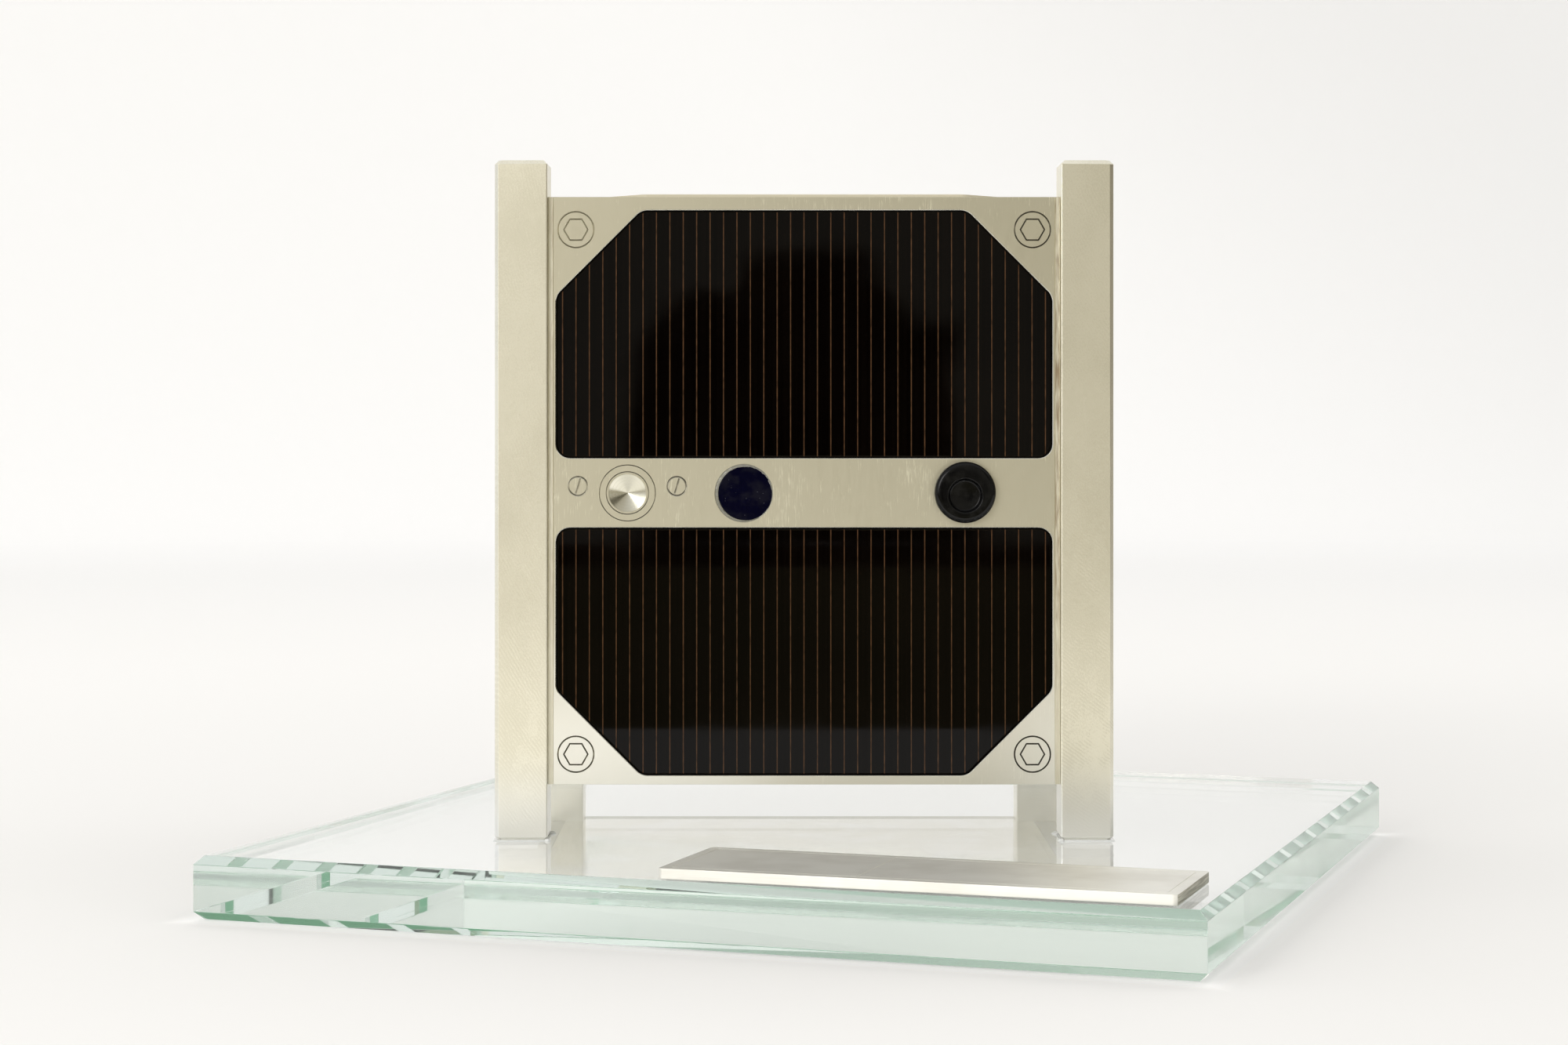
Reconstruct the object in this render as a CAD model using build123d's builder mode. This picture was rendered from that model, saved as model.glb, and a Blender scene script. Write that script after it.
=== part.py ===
from build123d import *
import os

# A desk model of a one-unit cube satellite, glued by its four feet to a square
# glass plinth, with a blank metal plaque lying in front of it. Millimetres.
# +Z is up and -Y is the front. The origin is the centre of the plinth's
# underside. The satellite stands square to the axes, the plinth is turned.

os.makedirs("parts", exist_ok=True)

# --- Plinth: a square glass plate, bevelled along its upper and lower edges ---
plinth_side = 160.0
plinth_thick = 10.0
plinth_bevel = 1.3
plinth_turn = -19.5          # degrees about Z

# --- Plaque: a metal plate on thin tape, near the plinth's front edge ---
plaque_width = 78.0
plaque_depth = 23.5
plaque_thick = 1.6
plaque_corner = 0.8          # radius of the upright corners
plaque_side_gap = 4.8        # from the plinth's right-hand edge
plaque_front_gap = 1.9       # from the plinth's front edge
plaque_turn = 0.6            # degrees, from the plinth's edge
tape_thick = 0.15
tape_margin = 1.0            # the tape stops this far inside the plaque

# --- Satellite: four rails that frame four side panels and two plates ---
body_x = -6.6                # the body's centre, from the plinth's centre
body_y = 17.9
body_side = 100.0            # over the outer faces of the rails
rail_side = 8.5
rail_height = 110.0
rail_edge_bevel = 0.35
rail_end_bevel = 0.6
leg_height = 9.0             # rail showing below the side panels
crown_height = 5.9           # rail showing above the side panels
seat_gap = 0.05              # hairline between pieces that fit together

panel_thick = 4.0
panel_recess = 1.1           # the panels' faces lie this far inside the rails'
panel_edge_bevel = 0.2
run_out_width = 0.85         # narrow step beside each rail
run_out_depth = 0.15

# --- Solar cells, in shallow pockets, their two outer corners cut off ---
cell_thick = 0.7
cell_cut = 13.65             # length of the cut along each edge
cell_corner = 2.0            # radius of every corner
cell_gap = 0.3               # round a cell in its pocket
cell_sink = 0.1              # from the panel's face down to the cell's
cell_side_margin = 1.55      # panel's upright edge to a cell
cell_top_margin = 2.455      # panel's top edge to the upper cell
cell_bottom_margin = 1.725   # panel's bottom edge to the lower cell
band_width = 11.82           # between the upper and the lower cell
band_rise = 0.24             # of the pieces in the band, above its middle
top_cell_side_margin = 4.85  # top plate's side edges to its cells
top_cell_end_margin = 4.35   # top plate's front and back edges to its cells
top_cell_split = 1.0         # between the two cells on the top plate
bed_margin = 0.8             # the raised bed round the top plate's cells
bed_rise = 0.3

# --- Screw outlines, engraved in the panels' faces ---
screw_ring = 2.9             # radius of the ring's middle line
screw_hexagon = 1.95         # to the corners of the hexagon's middle line
screw_line = 0.28            # width of the engraved line
screw_line_depth = 0.25
screw_side_inset = 4.5       # from the panel's upright edge
screw_top_inset = 5.3
screw_bottom_inset = 4.9

# --- Front band between the cells: cone, window and cap ---
cone_inset = 12.85           # cone's middle, from the panel's left-hand edge
cone_drop = 0.25             # below the middle of the band
cone_radius = 3.1
cone_wall = 0.15             # straight wall above the cone
cone_depth = 1.3
cone_rings = (3.43, 4.53)    # radii of the two engraved rings round the cone
fine_line = 0.16             # width of the fine engraved lines
fine_line_depth = 0.12
slot_screw_spacing = 16.0    # between the slotted screws beside the cone
slot_screw_rise = 1.1        # above the cone's middle
slot_screw_radii = (1.35, 1.7)
slot_width = 0.36
slot_turn = 73.0             # degrees from level

window_spacing = 19.1        # from the cone's middle to the window's
window_drop = 0.15           # below the middle of the band
window_radius = 4.4
window_thick = 1.0
window_hole_radius = 4.75
window_hole_shift = (-0.27, -0.13)   # of the hole, from the window's centre
window_sink = 0.1

cap_inset = 15.45            # cap's middle, from the panel's right-hand edge
cap_radius = 4.96
cap_proud = 2.0
cap_bevel = 0.8              # round the rim
cap_recess_radius = 2.95
cap_recess_floor = 2.3       # radius at the recess's floor
cap_recess_depth = 0.9
cap_recess_drop = 0.5        # the recess lies this far below the cap's middle

# --- Glue that has crept out at the feet ---
bead_radius = 1.7
bead_crown_radius = 0.7
bead_height = 0.5

# Worked out from the sizes above
rail_centre = (body_side - rail_side) / 2
panel_bottom = leg_height
panel_top = rail_height - crown_height
panel_height = panel_top - panel_bottom
panel_middle = (panel_bottom + panel_top) / 2
panel_width = body_side - 2 * (rail_side + seat_gap)
inner_side = body_side - 2 * (panel_recess + panel_thick + seat_gap)
cell_width = panel_width - 2 * cell_side_margin
cell_height = (panel_height - cell_top_margin - cell_bottom_margin - band_width) / 2
top_cell_width = inner_side - 2 * top_cell_side_margin
top_cell_depth = (inner_side - top_cell_split) / 2 - top_cell_end_margin
pocket_depth = cell_thick + cell_sink
upper_cell_z = panel_top - cell_top_margin - cell_height / 2
lower_cell_z = panel_bottom + cell_bottom_margin + cell_height / 2
band_z = (upper_cell_z + lower_cell_z) / 2 + band_rise
cone_x = cone_inset - panel_width / 2
cone_z = band_z - cone_drop
window_x = cone_x + window_spacing
window_z = band_z - window_drop
cap_x = panel_width / 2 - cap_inset

plinth_plane = Plane.XY.rotated((0, 0, plinth_turn))
body_plane = Plane(origin=(body_x, body_y, plinth_thick))
plaque_x = (plinth_side - plaque_width) / 2 - plaque_side_gap
plaque_y = plaque_front_gap + (plaque_depth - plinth_side) / 2

# Columns: name, degrees about Z from the front
SIDES = (("front", 0), ("right", 90), ("back", 180), ("left", 270))

# Columns: name, side of the middle in X, side of the middle in Y
CORNERS = (("front_left", -1, -1), ("front_right", 1, -1),
           ("back_right", 1, 1), ("back_left", -1, 1))

# Columns: name, height of the cell's centre, which end of the cell is cut
CELL_ROWS = (("upper", upper_cell_z, -1), ("lower", lower_cell_z, 0))


def side_plane(turn, inset):
    """A plane on one side of the body: X level, Y up, Z outwards."""
    return Plane(
        body_plane.location
        * Rot(0, 0, turn)
        * Pos(0, inset - body_side / 2, 0)
        * Rot(90, 0, 0)
    )


def cell_outline(width, height, cut_end, grow=0.0):
    """A cell's outline about its centre, or its pocket's, grown all round."""
    with BuildSketch() as outline:
        Rectangle(width, height)
        chamfer(outline.vertices().group_by(Axis.Y)[cut_end], length=cell_cut)
        fillet(outline.vertices(), radius=cell_corner)
        if grow:
            offset(amount=grow)
    return outline.sketch


def save(piece, name):
    """Label a finished piece and write it."""
    piece.part.label = name
    export_step(piece.part, f"parts/{name}.step")


# --- Glass plinth ---
with BuildPart() as glass_plinth:
    with BuildSketch(plinth_plane):
        Rectangle(plinth_side, plinth_side)
    extrude(amount=plinth_thick)
    chamfer(glass_plinth.faces().filter_by(Axis.Z).edges(), length=plinth_bevel)
save(glass_plinth, "glass_plinth")

# --- Plaque and its tape ---
tape_plane = Plane(
    plinth_plane.location
    * Pos(plaque_x, plaque_y, plinth_thick)
    * Rot(0, 0, plaque_turn)
)
with BuildPart() as plaque_tape:
    with BuildSketch(tape_plane):
        Rectangle(plaque_width - 2 * tape_margin, plaque_depth - 2 * tape_margin)
    extrude(amount=tape_thick)
save(plaque_tape, "plaque_tape")

with BuildPart() as plaque:
    with BuildSketch(tape_plane.offset(tape_thick)):
        RectangleRounded(plaque_width, plaque_depth, plaque_corner)
    extrude(amount=plaque_thick)
save(plaque, "plaque")

# --- Corner rails ---
rail_places = [(x * rail_centre, y * rail_centre) for _, x, y in CORNERS]
for (corner, _, _), place in zip(CORNERS, rail_places):
    with BuildPart() as rail:
        with BuildSketch(body_plane):
            with Locations(place):
                Rectangle(rail_side, rail_side)
        extrude(amount=rail_height)
        chamfer(rail.faces().filter_by(Axis.Z).edges(), length=rail_end_bevel)
        with BuildSketch(body_plane) as rail_section:
            with Locations(place):
                Rectangle(rail_side, rail_side)
            chamfer(rail_section.vertices(), length=rail_edge_bevel)
        extrude(amount=rail_height, mode=Mode.INTERSECT)
    save(rail, f"rail_{corner}")

# --- Side panels ---
cell_pockets = {
    row: cell_outline(cell_width, cell_height, cut_end, cell_gap)
    for row, _, cut_end in CELL_ROWS
}
run_out_x = (panel_width - run_out_width) / 2
screw_x = panel_width / 2 - screw_side_inset
screw_places = [
    (side * screw_x, height)
    for side in (-1, 1)
    for height in (panel_top - screw_top_inset, panel_bottom + screw_bottom_inset)
]
slot_screw_places = [
    (cone_x + side * slot_screw_spacing / 2, cone_z + slot_screw_rise)
    for side in (-1, 1)
]
window_hole_place = (window_x + window_hole_shift[0], window_z + window_hole_shift[1])

for side_name, turn in SIDES:
    face = side_plane(turn, panel_recess)
    with BuildPart() as panel:
        with BuildSketch(face):
            with Locations((0, panel_middle)):
                Rectangle(panel_width, panel_height)
        extrude(amount=-panel_thick)
        outer_face = panel.faces().sort_by(Axis(face.origin, face.z_dir))[-1]
        chamfer(outer_face.edges(), length=panel_edge_bevel)

        # Shallow step down both upright edges
        with BuildSketch(face):
            with Locations((-run_out_x, panel_middle), (run_out_x, panel_middle)):
                Rectangle(run_out_width, panel_height)
        extrude(amount=-run_out_depth, mode=Mode.SUBTRACT)

        # Pockets for the cells
        with BuildSketch(face):
            for row, height, _ in CELL_ROWS:
                with Locations((0, height)):
                    add(cell_pockets[row])
        extrude(amount=-pocket_depth, mode=Mode.SUBTRACT)

        # Outlines of socket screws: a ring and a hexagon
        with BuildSketch(face):
            with Locations(*screw_places):
                Circle(screw_ring + screw_line / 2)
                Circle(screw_ring - screw_line / 2, mode=Mode.SUBTRACT)
                RegularPolygon(screw_hexagon + screw_line / 2, side_count=6)
                RegularPolygon(
                    screw_hexagon - screw_line / 2, side_count=6, mode=Mode.SUBTRACT
                )
        extrude(amount=-screw_line_depth, mode=Mode.SUBTRACT)

        if side_name == "front":
            # Fine rings round the cone, and the slotted screws beside it
            with BuildSketch(face):
                for radius in sorted(cone_rings, reverse=True):
                    with Locations((cone_x, cone_z)):
                        Circle(radius + fine_line / 2)
                        Circle(radius - fine_line / 2, mode=Mode.SUBTRACT)
                with Locations(*slot_screw_places):
                    Circle(slot_screw_radii[1])
                    Circle(slot_screw_radii[0], mode=Mode.SUBTRACT)
                    Rectangle(2 * slot_screw_radii[0], slot_width, rotation=slot_turn)
            extrude(amount=-fine_line_depth, mode=Mode.SUBTRACT)

            # The cone itself, point inwards, under a short straight wall
            with BuildSketch(face):
                with Locations((cone_x, cone_z)):
                    Circle(cone_radius)
            extrude(amount=-cone_wall, mode=Mode.SUBTRACT)
            with Locations(face.offset(-cone_wall)):
                with Locations((cone_x, cone_z, -cone_depth / 2)):
                    Cone(0, cone_radius, cone_depth, mode=Mode.SUBTRACT)

            # The hole that the window is glued into
            with BuildSketch(face):
                with Locations(window_hole_place):
                    Circle(window_hole_radius)
            extrude(amount=-(window_thick + window_sink), mode=Mode.SUBTRACT)
    save(panel, f"panel_{side_name}")

# --- Cells on the sides ---
cell_plane_inset = panel_recess + pocket_depth
for side_name, turn in SIDES:
    for row, height, cut_end in CELL_ROWS:
        outline = cell_outline(cell_width, cell_height, cut_end)
        with BuildPart() as cell:
            with BuildSketch(side_plane(turn, cell_plane_inset)):
                with Locations((0, height)):
                    add(outline)
            extrude(amount=cell_thick)
        save(cell, f"cell_{side_name}_{row}")

# --- Top and bottom plates, notched round the rails ---
notch = inner_side / 2 - (body_side / 2 - rail_side) + seat_gap
notch_centre = (inner_side - notch) / 2
notch_places = [(x * notch_centre, y * notch_centre) for _, x, y in CORNERS]
bed_width = top_cell_width + 2 * bed_margin
bed_depth = 2 * (top_cell_depth + bed_margin) + top_cell_split

with BuildPart() as bottom_plate:
    with BuildSketch(body_plane.offset(panel_bottom)):
        Rectangle(inner_side, inner_side)
        with Locations(*notch_places):
            Rectangle(notch, notch, mode=Mode.SUBTRACT)
    extrude(amount=panel_thick)
save(bottom_plate, "bottom_plate")

with BuildPart() as top_plate:
    with BuildSketch(body_plane.offset(panel_top)):
        Rectangle(inner_side, inner_side)
        with Locations(*notch_places):
            Rectangle(notch, notch, mode=Mode.SUBTRACT)
    extrude(amount=-panel_thick)
    with BuildSketch(body_plane.offset(panel_top)) as bed:
        Rectangle(bed_width, bed_depth)
        chamfer(bed.vertices(), length=cell_cut)
    extrude(amount=bed_rise)
save(top_plate, "top_plate")

# Columns: name, side of the middle in Y, which end of the cell is cut
TOP_CELLS = (("back", 1, -1), ("front", -1, 0))
for row, y_side, cut_end in TOP_CELLS:
    outline = cell_outline(top_cell_width, top_cell_depth, cut_end)
    with BuildPart() as cell:
        with BuildSketch(body_plane.offset(panel_top + bed_rise)):
            with Locations((0, y_side * (top_cell_depth + top_cell_split) / 2)):
                add(outline)
        extrude(amount=cell_thick)
    save(cell, f"cell_top_{row}")

# --- Window and cap on the front panel ---
front_face = side_plane(0, panel_recess)
with BuildPart() as window:
    with BuildSketch(front_face.offset(-(window_thick + window_sink))):
        with Locations((window_x, window_z)):
            Circle(window_radius)
    extrude(amount=window_thick)
save(window, "window")

with BuildPart() as cap:
    with BuildSketch(front_face):
        with Locations((cap_x, band_z)):
            Circle(cap_radius)
    extrude(amount=cap_proud)
    rim = cap.faces().sort_by(Axis(front_face.origin, front_face.z_dir))[-1]
    chamfer(rim.edges(), length=cap_bevel)
    with Locations(front_face.offset(cap_proud)):
        with Locations((cap_x, band_z - cap_recess_drop, -cap_recess_depth / 2)):
            Cone(cap_recess_floor, cap_recess_radius, cap_recess_depth, mode=Mode.SUBTRACT)
save(cap, "cap")

# --- Glue beads at the feet: low domes on the glass round the inner corners ---
bead_reach = body_side / 2 - rail_side
bead_places = [
    (x_side * bead_reach, y_side * bead_reach, bead_height / 2)
    for _, x_side, y_side in CORNERS
]
with BuildPart() as glue_beads:
    with Locations(body_plane):
        with Locations(*bead_places):
            Cone(bead_radius, bead_crown_radius, bead_height)
    with BuildSketch(body_plane):
        with Locations(*rail_places):
            Rectangle(rail_side, rail_side)
    extrude(amount=bead_height, mode=Mode.SUBTRACT)
save(glue_beads, "glue_beads")
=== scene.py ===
"""Finishes and fine parts for the desk model of a cube satellite on a glass plinth.

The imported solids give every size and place. This script dresses the top cells, the
two plates and the tape, and builds finer pieces to stand for the rest. Sizes in the
classes are in millimetres unless they say metres. +Z is up and -Y is the front.
"""

import logging
import math
from collections.abc import Callable, Iterable, Sequence
from dataclasses import dataclass
from enum import Enum, IntEnum
from itertools import product

import bmesh
import bpy
from mathutils import Matrix, Vector, noise


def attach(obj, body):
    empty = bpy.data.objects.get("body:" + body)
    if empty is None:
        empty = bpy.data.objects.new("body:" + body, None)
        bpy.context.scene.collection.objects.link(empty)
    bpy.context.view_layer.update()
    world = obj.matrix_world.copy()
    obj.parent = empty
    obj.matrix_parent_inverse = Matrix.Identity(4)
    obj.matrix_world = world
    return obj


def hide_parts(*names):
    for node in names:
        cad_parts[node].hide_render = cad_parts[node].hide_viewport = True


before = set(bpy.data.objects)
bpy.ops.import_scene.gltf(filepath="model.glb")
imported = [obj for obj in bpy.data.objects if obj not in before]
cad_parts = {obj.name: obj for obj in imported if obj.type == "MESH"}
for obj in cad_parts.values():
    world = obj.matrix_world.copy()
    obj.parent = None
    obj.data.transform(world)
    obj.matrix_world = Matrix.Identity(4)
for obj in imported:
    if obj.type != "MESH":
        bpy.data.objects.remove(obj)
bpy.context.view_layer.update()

log = logging.getLogger("cube_satellite")

MM = 0.001
SAME = 1e-7  # metres: closer than this is the same place

Pair = tuple[float, float]
Triple = tuple[float, float, float]
Colour = Triple
Mesh = bmesh.types.BMesh
Face = bmesh.types.BMFace
Edge = bmesh.types.BMEdge
Vert = bmesh.types.BMVert
Material = bpy.types.Material
Socket = bpy.types.NodeSocket
Value = float | tuple[float, ...] | Socket
Inputs = dict[str | int, Value]

# The satellite's middle, the plinth's turn and the glass's top, as packed
BODY_CENTRE = (-6.6, 17.9)
PLINTH_TURN = -19.5
PLAQUE_TURN = 0.6  # on the plinth
GLASS_TOP = 10.0
FACE_INSET = 48.9  # from the satellite's middle out to a side panel's face
PANEL_MIDDLE = 66.55  # height of the side panels' middle
RAIL_SIDE = 8.5
WINDOW_HOLE_RADIUS = 4.75

# Each side and its turn from the front, and each corner and its side in X and Y
SIDES = (("front", 0), ("right", 90), ("back", 180), ("left", 270))
CORNERS = (
    ("front_left", -1, -1),
    ("front_right", 1, -1),
    ("back_right", 1, 1),
    ("back_left", -1, 1),
)


class Brush(Enum):
    """The way a cutter or an abrasive has marked a metal face."""

    UPRIGHT = "upright"
    FLY_CUT = "fly_cut"
    LENGTHWISE = "lengthwise"
    TURNED = "turned"


class PanelFace(IntEnum):
    """What a face of a side panel is made to look like: its material index."""

    PLAIN = 0
    ENGRAVED = 1
    BROWN_SHADED = 2
    BRIGHT = 3
    NEAR_BLACK = 4


# --- Shader graphs ---


class Graph:
    """A node tree, with short ways to add to it."""

    def __init__(self, tree: bpy.types.NodeTree) -> None:
        """Start on a tree, emptied of what it holds.

        Args:
            tree: the node tree of a material or a world.
        """
        self.tree = tree
        tree.nodes.clear()

    @classmethod
    def of_material(cls, name: str) -> tuple[Material, "Graph"]:
        """Make a material and its empty graph.

        Args:
            name: the material's name.

        Returns:
            The material and the graph.
        """
        material = bpy.data.materials.new(name)
        material.use_nodes = True
        return material, cls(material.node_tree)

    def add(self, kind: str, inputs: Inputs | None = None, **settings: object) -> bpy.types.Node:
        """Add a node, set its options, and give each input a number or a link.

        Args:
            kind: the node's type, without its ShaderNode prefix.
            inputs: what goes into its sockets, by name or index.
            settings: the node's own options.

        Returns:
            The node.
        """
        node = self.tree.nodes.new("ShaderNode" + kind)
        for option, value in settings.items():
            setattr(node, option, value)
        for key, value in (inputs or {}).items():
            socket = node.inputs[key]
            if isinstance(value, bpy.types.NodeSocket):
                self.tree.links.new(value, socket)
            else:
                socket.default_value = (*value, 1.0) if socket.type == "RGBA" else value
        return node

    def math(self, operation: str, *values: Value) -> Socket:
        """Add a Math node on one or more values and return its result."""
        return self.add("Math", dict(enumerate(values)), operation=operation).outputs[0]

    def place(
        self,
        centre: tuple[float, ...] = (0.0, 0.0, 0.0),
        size: tuple[float, ...] = (1.0, 1.0, 1.0),
        turn: float = 0.0,
    ) -> Socket:
        """The piece's own coordinates, counted from a centre in units of a size.

        Args:
            centre: the pattern's middle, in millimetres.
            size: one unit of the pattern along each axis, in millimetres.
            turn: the pattern's turn about Z, in degrees.

        Returns:
            The coordinates.
        """
        coordinates = self.add("TexCoord").outputs["Object"]
        return self.add(
            "Mapping",
            {
                "Vector": coordinates,
                "Location": tuple(c * MM for c in centre),
                "Rotation": (0.0, 0.0, math.radians(turn)),
                "Scale": tuple(s * MM for s in size),
            },
            vector_type="TEXTURE",
        ).outputs[0]

    def facing(self, axis: int) -> Socket:
        """How far the surface faces along an axis, from -1 to 1."""
        return self.split(self.add("TexCoord").outputs["Normal"])[axis]

    def split(self, vector: Socket) -> list[Socket]:
        """The three parts of a vector."""
        return list(self.add("SeparateXYZ", {0: vector}).outputs)

    def join(self, *parts: Value) -> Socket:
        """A vector of three parts."""
        return self.add("CombineXYZ", dict(enumerate(parts))).outputs[0]

    def length(self, vector: Socket) -> Socket:
        """The length of a vector."""
        return self.add("VectorMath", {0: vector}, operation="LENGTH").outputs["Value"]

    def noise(self, vector: Socket, detail: float = 2.0, roughness: float = 0.5) -> Socket:
        """Noise with features about one unit across.

        Args:
            vector: the coordinates.
            detail: how many finer layers are added.
            roughness: how strong those layers are.

        Returns:
            A value about 0.5.
        """
        inputs = {"Vector": vector, "Scale": 1.0, "Detail": detail, "Roughness": roughness}
        return self.add("TexNoise", inputs).outputs[0]

    def grain(self, size: Triple, detail: float = 2.0, roughness: float = 0.5) -> Socket:
        """Noise with features of a size in millimetres along each axis of the piece."""
        return self.noise(self.place(size=size), detail, roughness)

    def ramp(
        self, value: Socket, start: float, end: float, low: float = 0.0, high: float = 1.0
    ) -> Socket:
        """Go smoothly from low to high while the value goes from start to end.

        Args:
            value: what is followed.
            start: where the change begins.
            end: where it is over.
            low: the result before it.
            high: the result after it.

        Returns:
            The result.
        """
        inputs = {"Value": value, 1: start, 2: end, 3: low, 4: high}
        return self.add("MapRange", inputs, interpolation_type="SMOOTHSTEP").outputs[0]

    def mix(self, factor: Socket, first: Value, second: Value) -> Socket:
        """Mix two colours, where 0 gives the first and 1 the second."""
        return self.add("Mix", {0: factor, 6: first, 7: second}, data_type="RGBA").outputs[2]

    def bump(self, height: Socket, depth: float, strength: float) -> Socket:
        """Turn a height into a surface's normal.

        Args:
            height: from 0 to 1.
            depth: how deep that is, in millimetres.
            strength: how much of it shows.

        Returns:
            The normal.
        """
        inputs = {"Height": height, "Distance": depth * MM, "Strength": strength}
        return self.add("Bump", inputs).outputs[0]


# --- Finishes ---


@dataclass(frozen=True)
class Finish:
    """A finish made with one Principled shader. The pattern sizes are in millimetres."""

    name: str

    def build(self) -> Material:
        """Make the material.

        Returns:
            The material.
        """
        material, graph = Graph.of_material(self.name)
        shader = graph.add("BsdfPrincipled", self.surface(graph))
        ends = {"Surface": shader.outputs[0], **self.volume(graph)}
        graph.add("OutputMaterial", ends)
        return material

    def surface(self, graph: Graph) -> Inputs:
        """What goes into the shader's sockets: nothing, unless a finish says so."""
        return {}

    def volume(self, graph: Graph) -> Inputs:
        """What fills the body: nothing, unless a finish says so."""
        return {}


@dataclass(frozen=True)
class MachinedMetal(Finish):
    """Bare aluminium or nickel silver with the marks of its last cut."""

    BROAD = (1.1, 1.1, 2.4)
    FINE = (0.14, 0.14, 2.6)
    LENGTHS = (9.0, 0.12, 0.12)
    TURNS = 9.0  # turned marks in each millimetre
    BLOTCH = (13.0, 13.0, 21.0)

    brush: Brush
    clean: Colour = (0.90, 0.867, 0.74)
    dull: Colour = (0.82, 0.787, 0.655)
    roughness: float = 0.46
    roughness_spread: float = 0.10
    contrast: float = 0.5
    mark_depth: float = 0.004
    bare: float = 1.0  # the rest is matt oxide
    gloss: float = 0.5
    centre: Triple = (0.0, 0.0, 0.0)  # of turned marks
    turn: float = 0.0  # of lengthwise marks, in degrees

    def marks(self, graph: Graph) -> Socket:
        """The height of the tool marks.

        Args:
            graph: the material's graph.

        Returns:
            A value from 0 to 1.
        """
        if self.brush is Brush.UPRIGHT:
            fine = graph.grain(self.FINE, 3.0, 0.65)
            broad = graph.grain(self.BROAD, 3.0, 0.6)
            return graph.math("ADD", graph.math("MULTIPLY", broad, 0.5), fine)
        if self.brush is Brush.LENGTHWISE:
            return graph.noise(graph.place(size=self.LENGTHS, turn=self.turn), 3.0, 0.6)
        if self.brush is Brush.TURNED:
            x, _, z = graph.split(graph.place(self.centre))
            radius = graph.length(graph.join(x, 0.0, z))
            return graph.noise(
                graph.join(graph.math("MULTIPLY", radius, self.TURNS), 0.0, 0.0), 3.0
            )
        return self._arcs(graph)

    @staticmethod
    def _arcs(graph: Graph) -> Socket:
        """The wide, worn arcs of a fly cutter, over a fine grain.

        X and Y are added, so that the arcs run on round the four faces of a rail.

        Args:
            graph: the material's graph.

        Returns:
            A value from 0 to 1.
        """
        right, top = 95.0, 150.0  # the cutter's middle
        x, y, z = graph.split(graph.place())
        across = graph.math("SUBTRACT", graph.math("ADD", x, y), right)
        arc = graph.add(
            "TexWave",
            {
                "Vector": graph.join(across, 0.0, graph.math("SUBTRACT", z, top)),
                "Scale": 0.62,
                "Distortion": 3.4,
                "Detail": 3.0,
                "Detail Scale": 1.1,
            },
            wave_type="RINGS",
            rings_direction="Y",
            wave_profile="SIN",
        ).outputs["Fac"]
        fade = graph.ramp(graph.grain((2.6, 2.6, 4.0), 3.0), 0.35, 0.7)
        strength = graph.ramp(z, 20.0, 75.0, 0.42, 0.12)
        grain = graph.grain((0.24, 0.24, 0.30), 3.0, 0.7)
        arcs = graph.math("MULTIPLY", arc, graph.math("MULTIPLY", fade, strength))
        return graph.math("ADD", arcs, grain)

    def tone(self, graph: Graph, marks: Socket) -> Socket:
        """The metal's colour, duller in its blotches and along deeper marks.

        Args:
            graph: the material's graph.
            marks: the height of the tool marks.

        Returns:
            The colour.
        """
        blotch = graph.grain(self.BLOTCH, 3.0, 0.6)
        faint = graph.math("MULTIPLY", graph.math("SUBTRACT", marks, 0.5), self.contrast)
        dullness = graph.ramp(graph.math("ADD", blotch, faint), 0.36, 0.72)
        return graph.mix(dullness, self.clean, self.dull)

    def surface(self, graph: Graph) -> Inputs:
        """A cut face.

        Args:
            graph: the material's graph.

        Returns:
            What goes into the shader's sockets.
        """
        marks = self.marks(graph)
        half = self.roughness_spread / 2
        rough = graph.ramp(marks, 0.2, 0.9, self.roughness - half, self.roughness + half)
        return {
            "Base Color": self.tone(graph, marks),
            "Metallic": self.bare,
            "Specular IOR Level": self.gloss,
            "Roughness": rough,
            "Normal": graph.bump(marks, self.mark_depth, 0.8),
        }


@dataclass(frozen=True)
class EngravedLine(MachinedMetal):
    """Metal at the bottom of an engraved line, with grime in it and painted shade on its walls
    that face down.
    """

    grime_and_shade_colour: Colour = (0.070, 0.063, 0.050)
    usual: float = 0.6  # how full of grime the lines are at a panel's middle
    to_right: float = 0.0068  # and how much more for each millimetre to the right
    to_top: float = -0.0059
    fullest: float = 0.9
    painted_overhang_shade: float = 0.6  # and painted shade on a wall that faces down

    def tone(self, graph: Graph, marks: Socket) -> Socket:
        """The metal's colour: grime, darker low down and to the right, and painted shade under
        each edge.

        Args:
            graph: the material's graph.
            marks: the height of the tool marks.

        Returns:
            The colour.
        """
        x, _, z = graph.split(graph.place((*BODY_CENTRE, PANEL_MIDDLE)))
        filled = self.usual
        for along, slope in ((x, self.to_right), (z, self.to_top)):
            filled = graph.math("ADD", graph.math("MULTIPLY", along, slope), filled)
        patchy = graph.ramp(graph.grain((0.6, 0.6, 0.6)), 0.3, 0.6, 0.55)
        # painted shade: walls that face down are darkened, as if in shade under the edge
        under = graph.ramp(graph.facing(2), -0.6, 0.1, self.painted_overhang_shade, 0.0)
        grime_and_shade = graph.math("ADD", graph.math("MULTIPLY", filled, patchy), under)
        held = graph.math("MAXIMUM", graph.math("MINIMUM", grime_and_shade, self.fullest), 0.0)
        return graph.mix(held, super().tone(graph, marks), self.grime_and_shade_colour)


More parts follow.
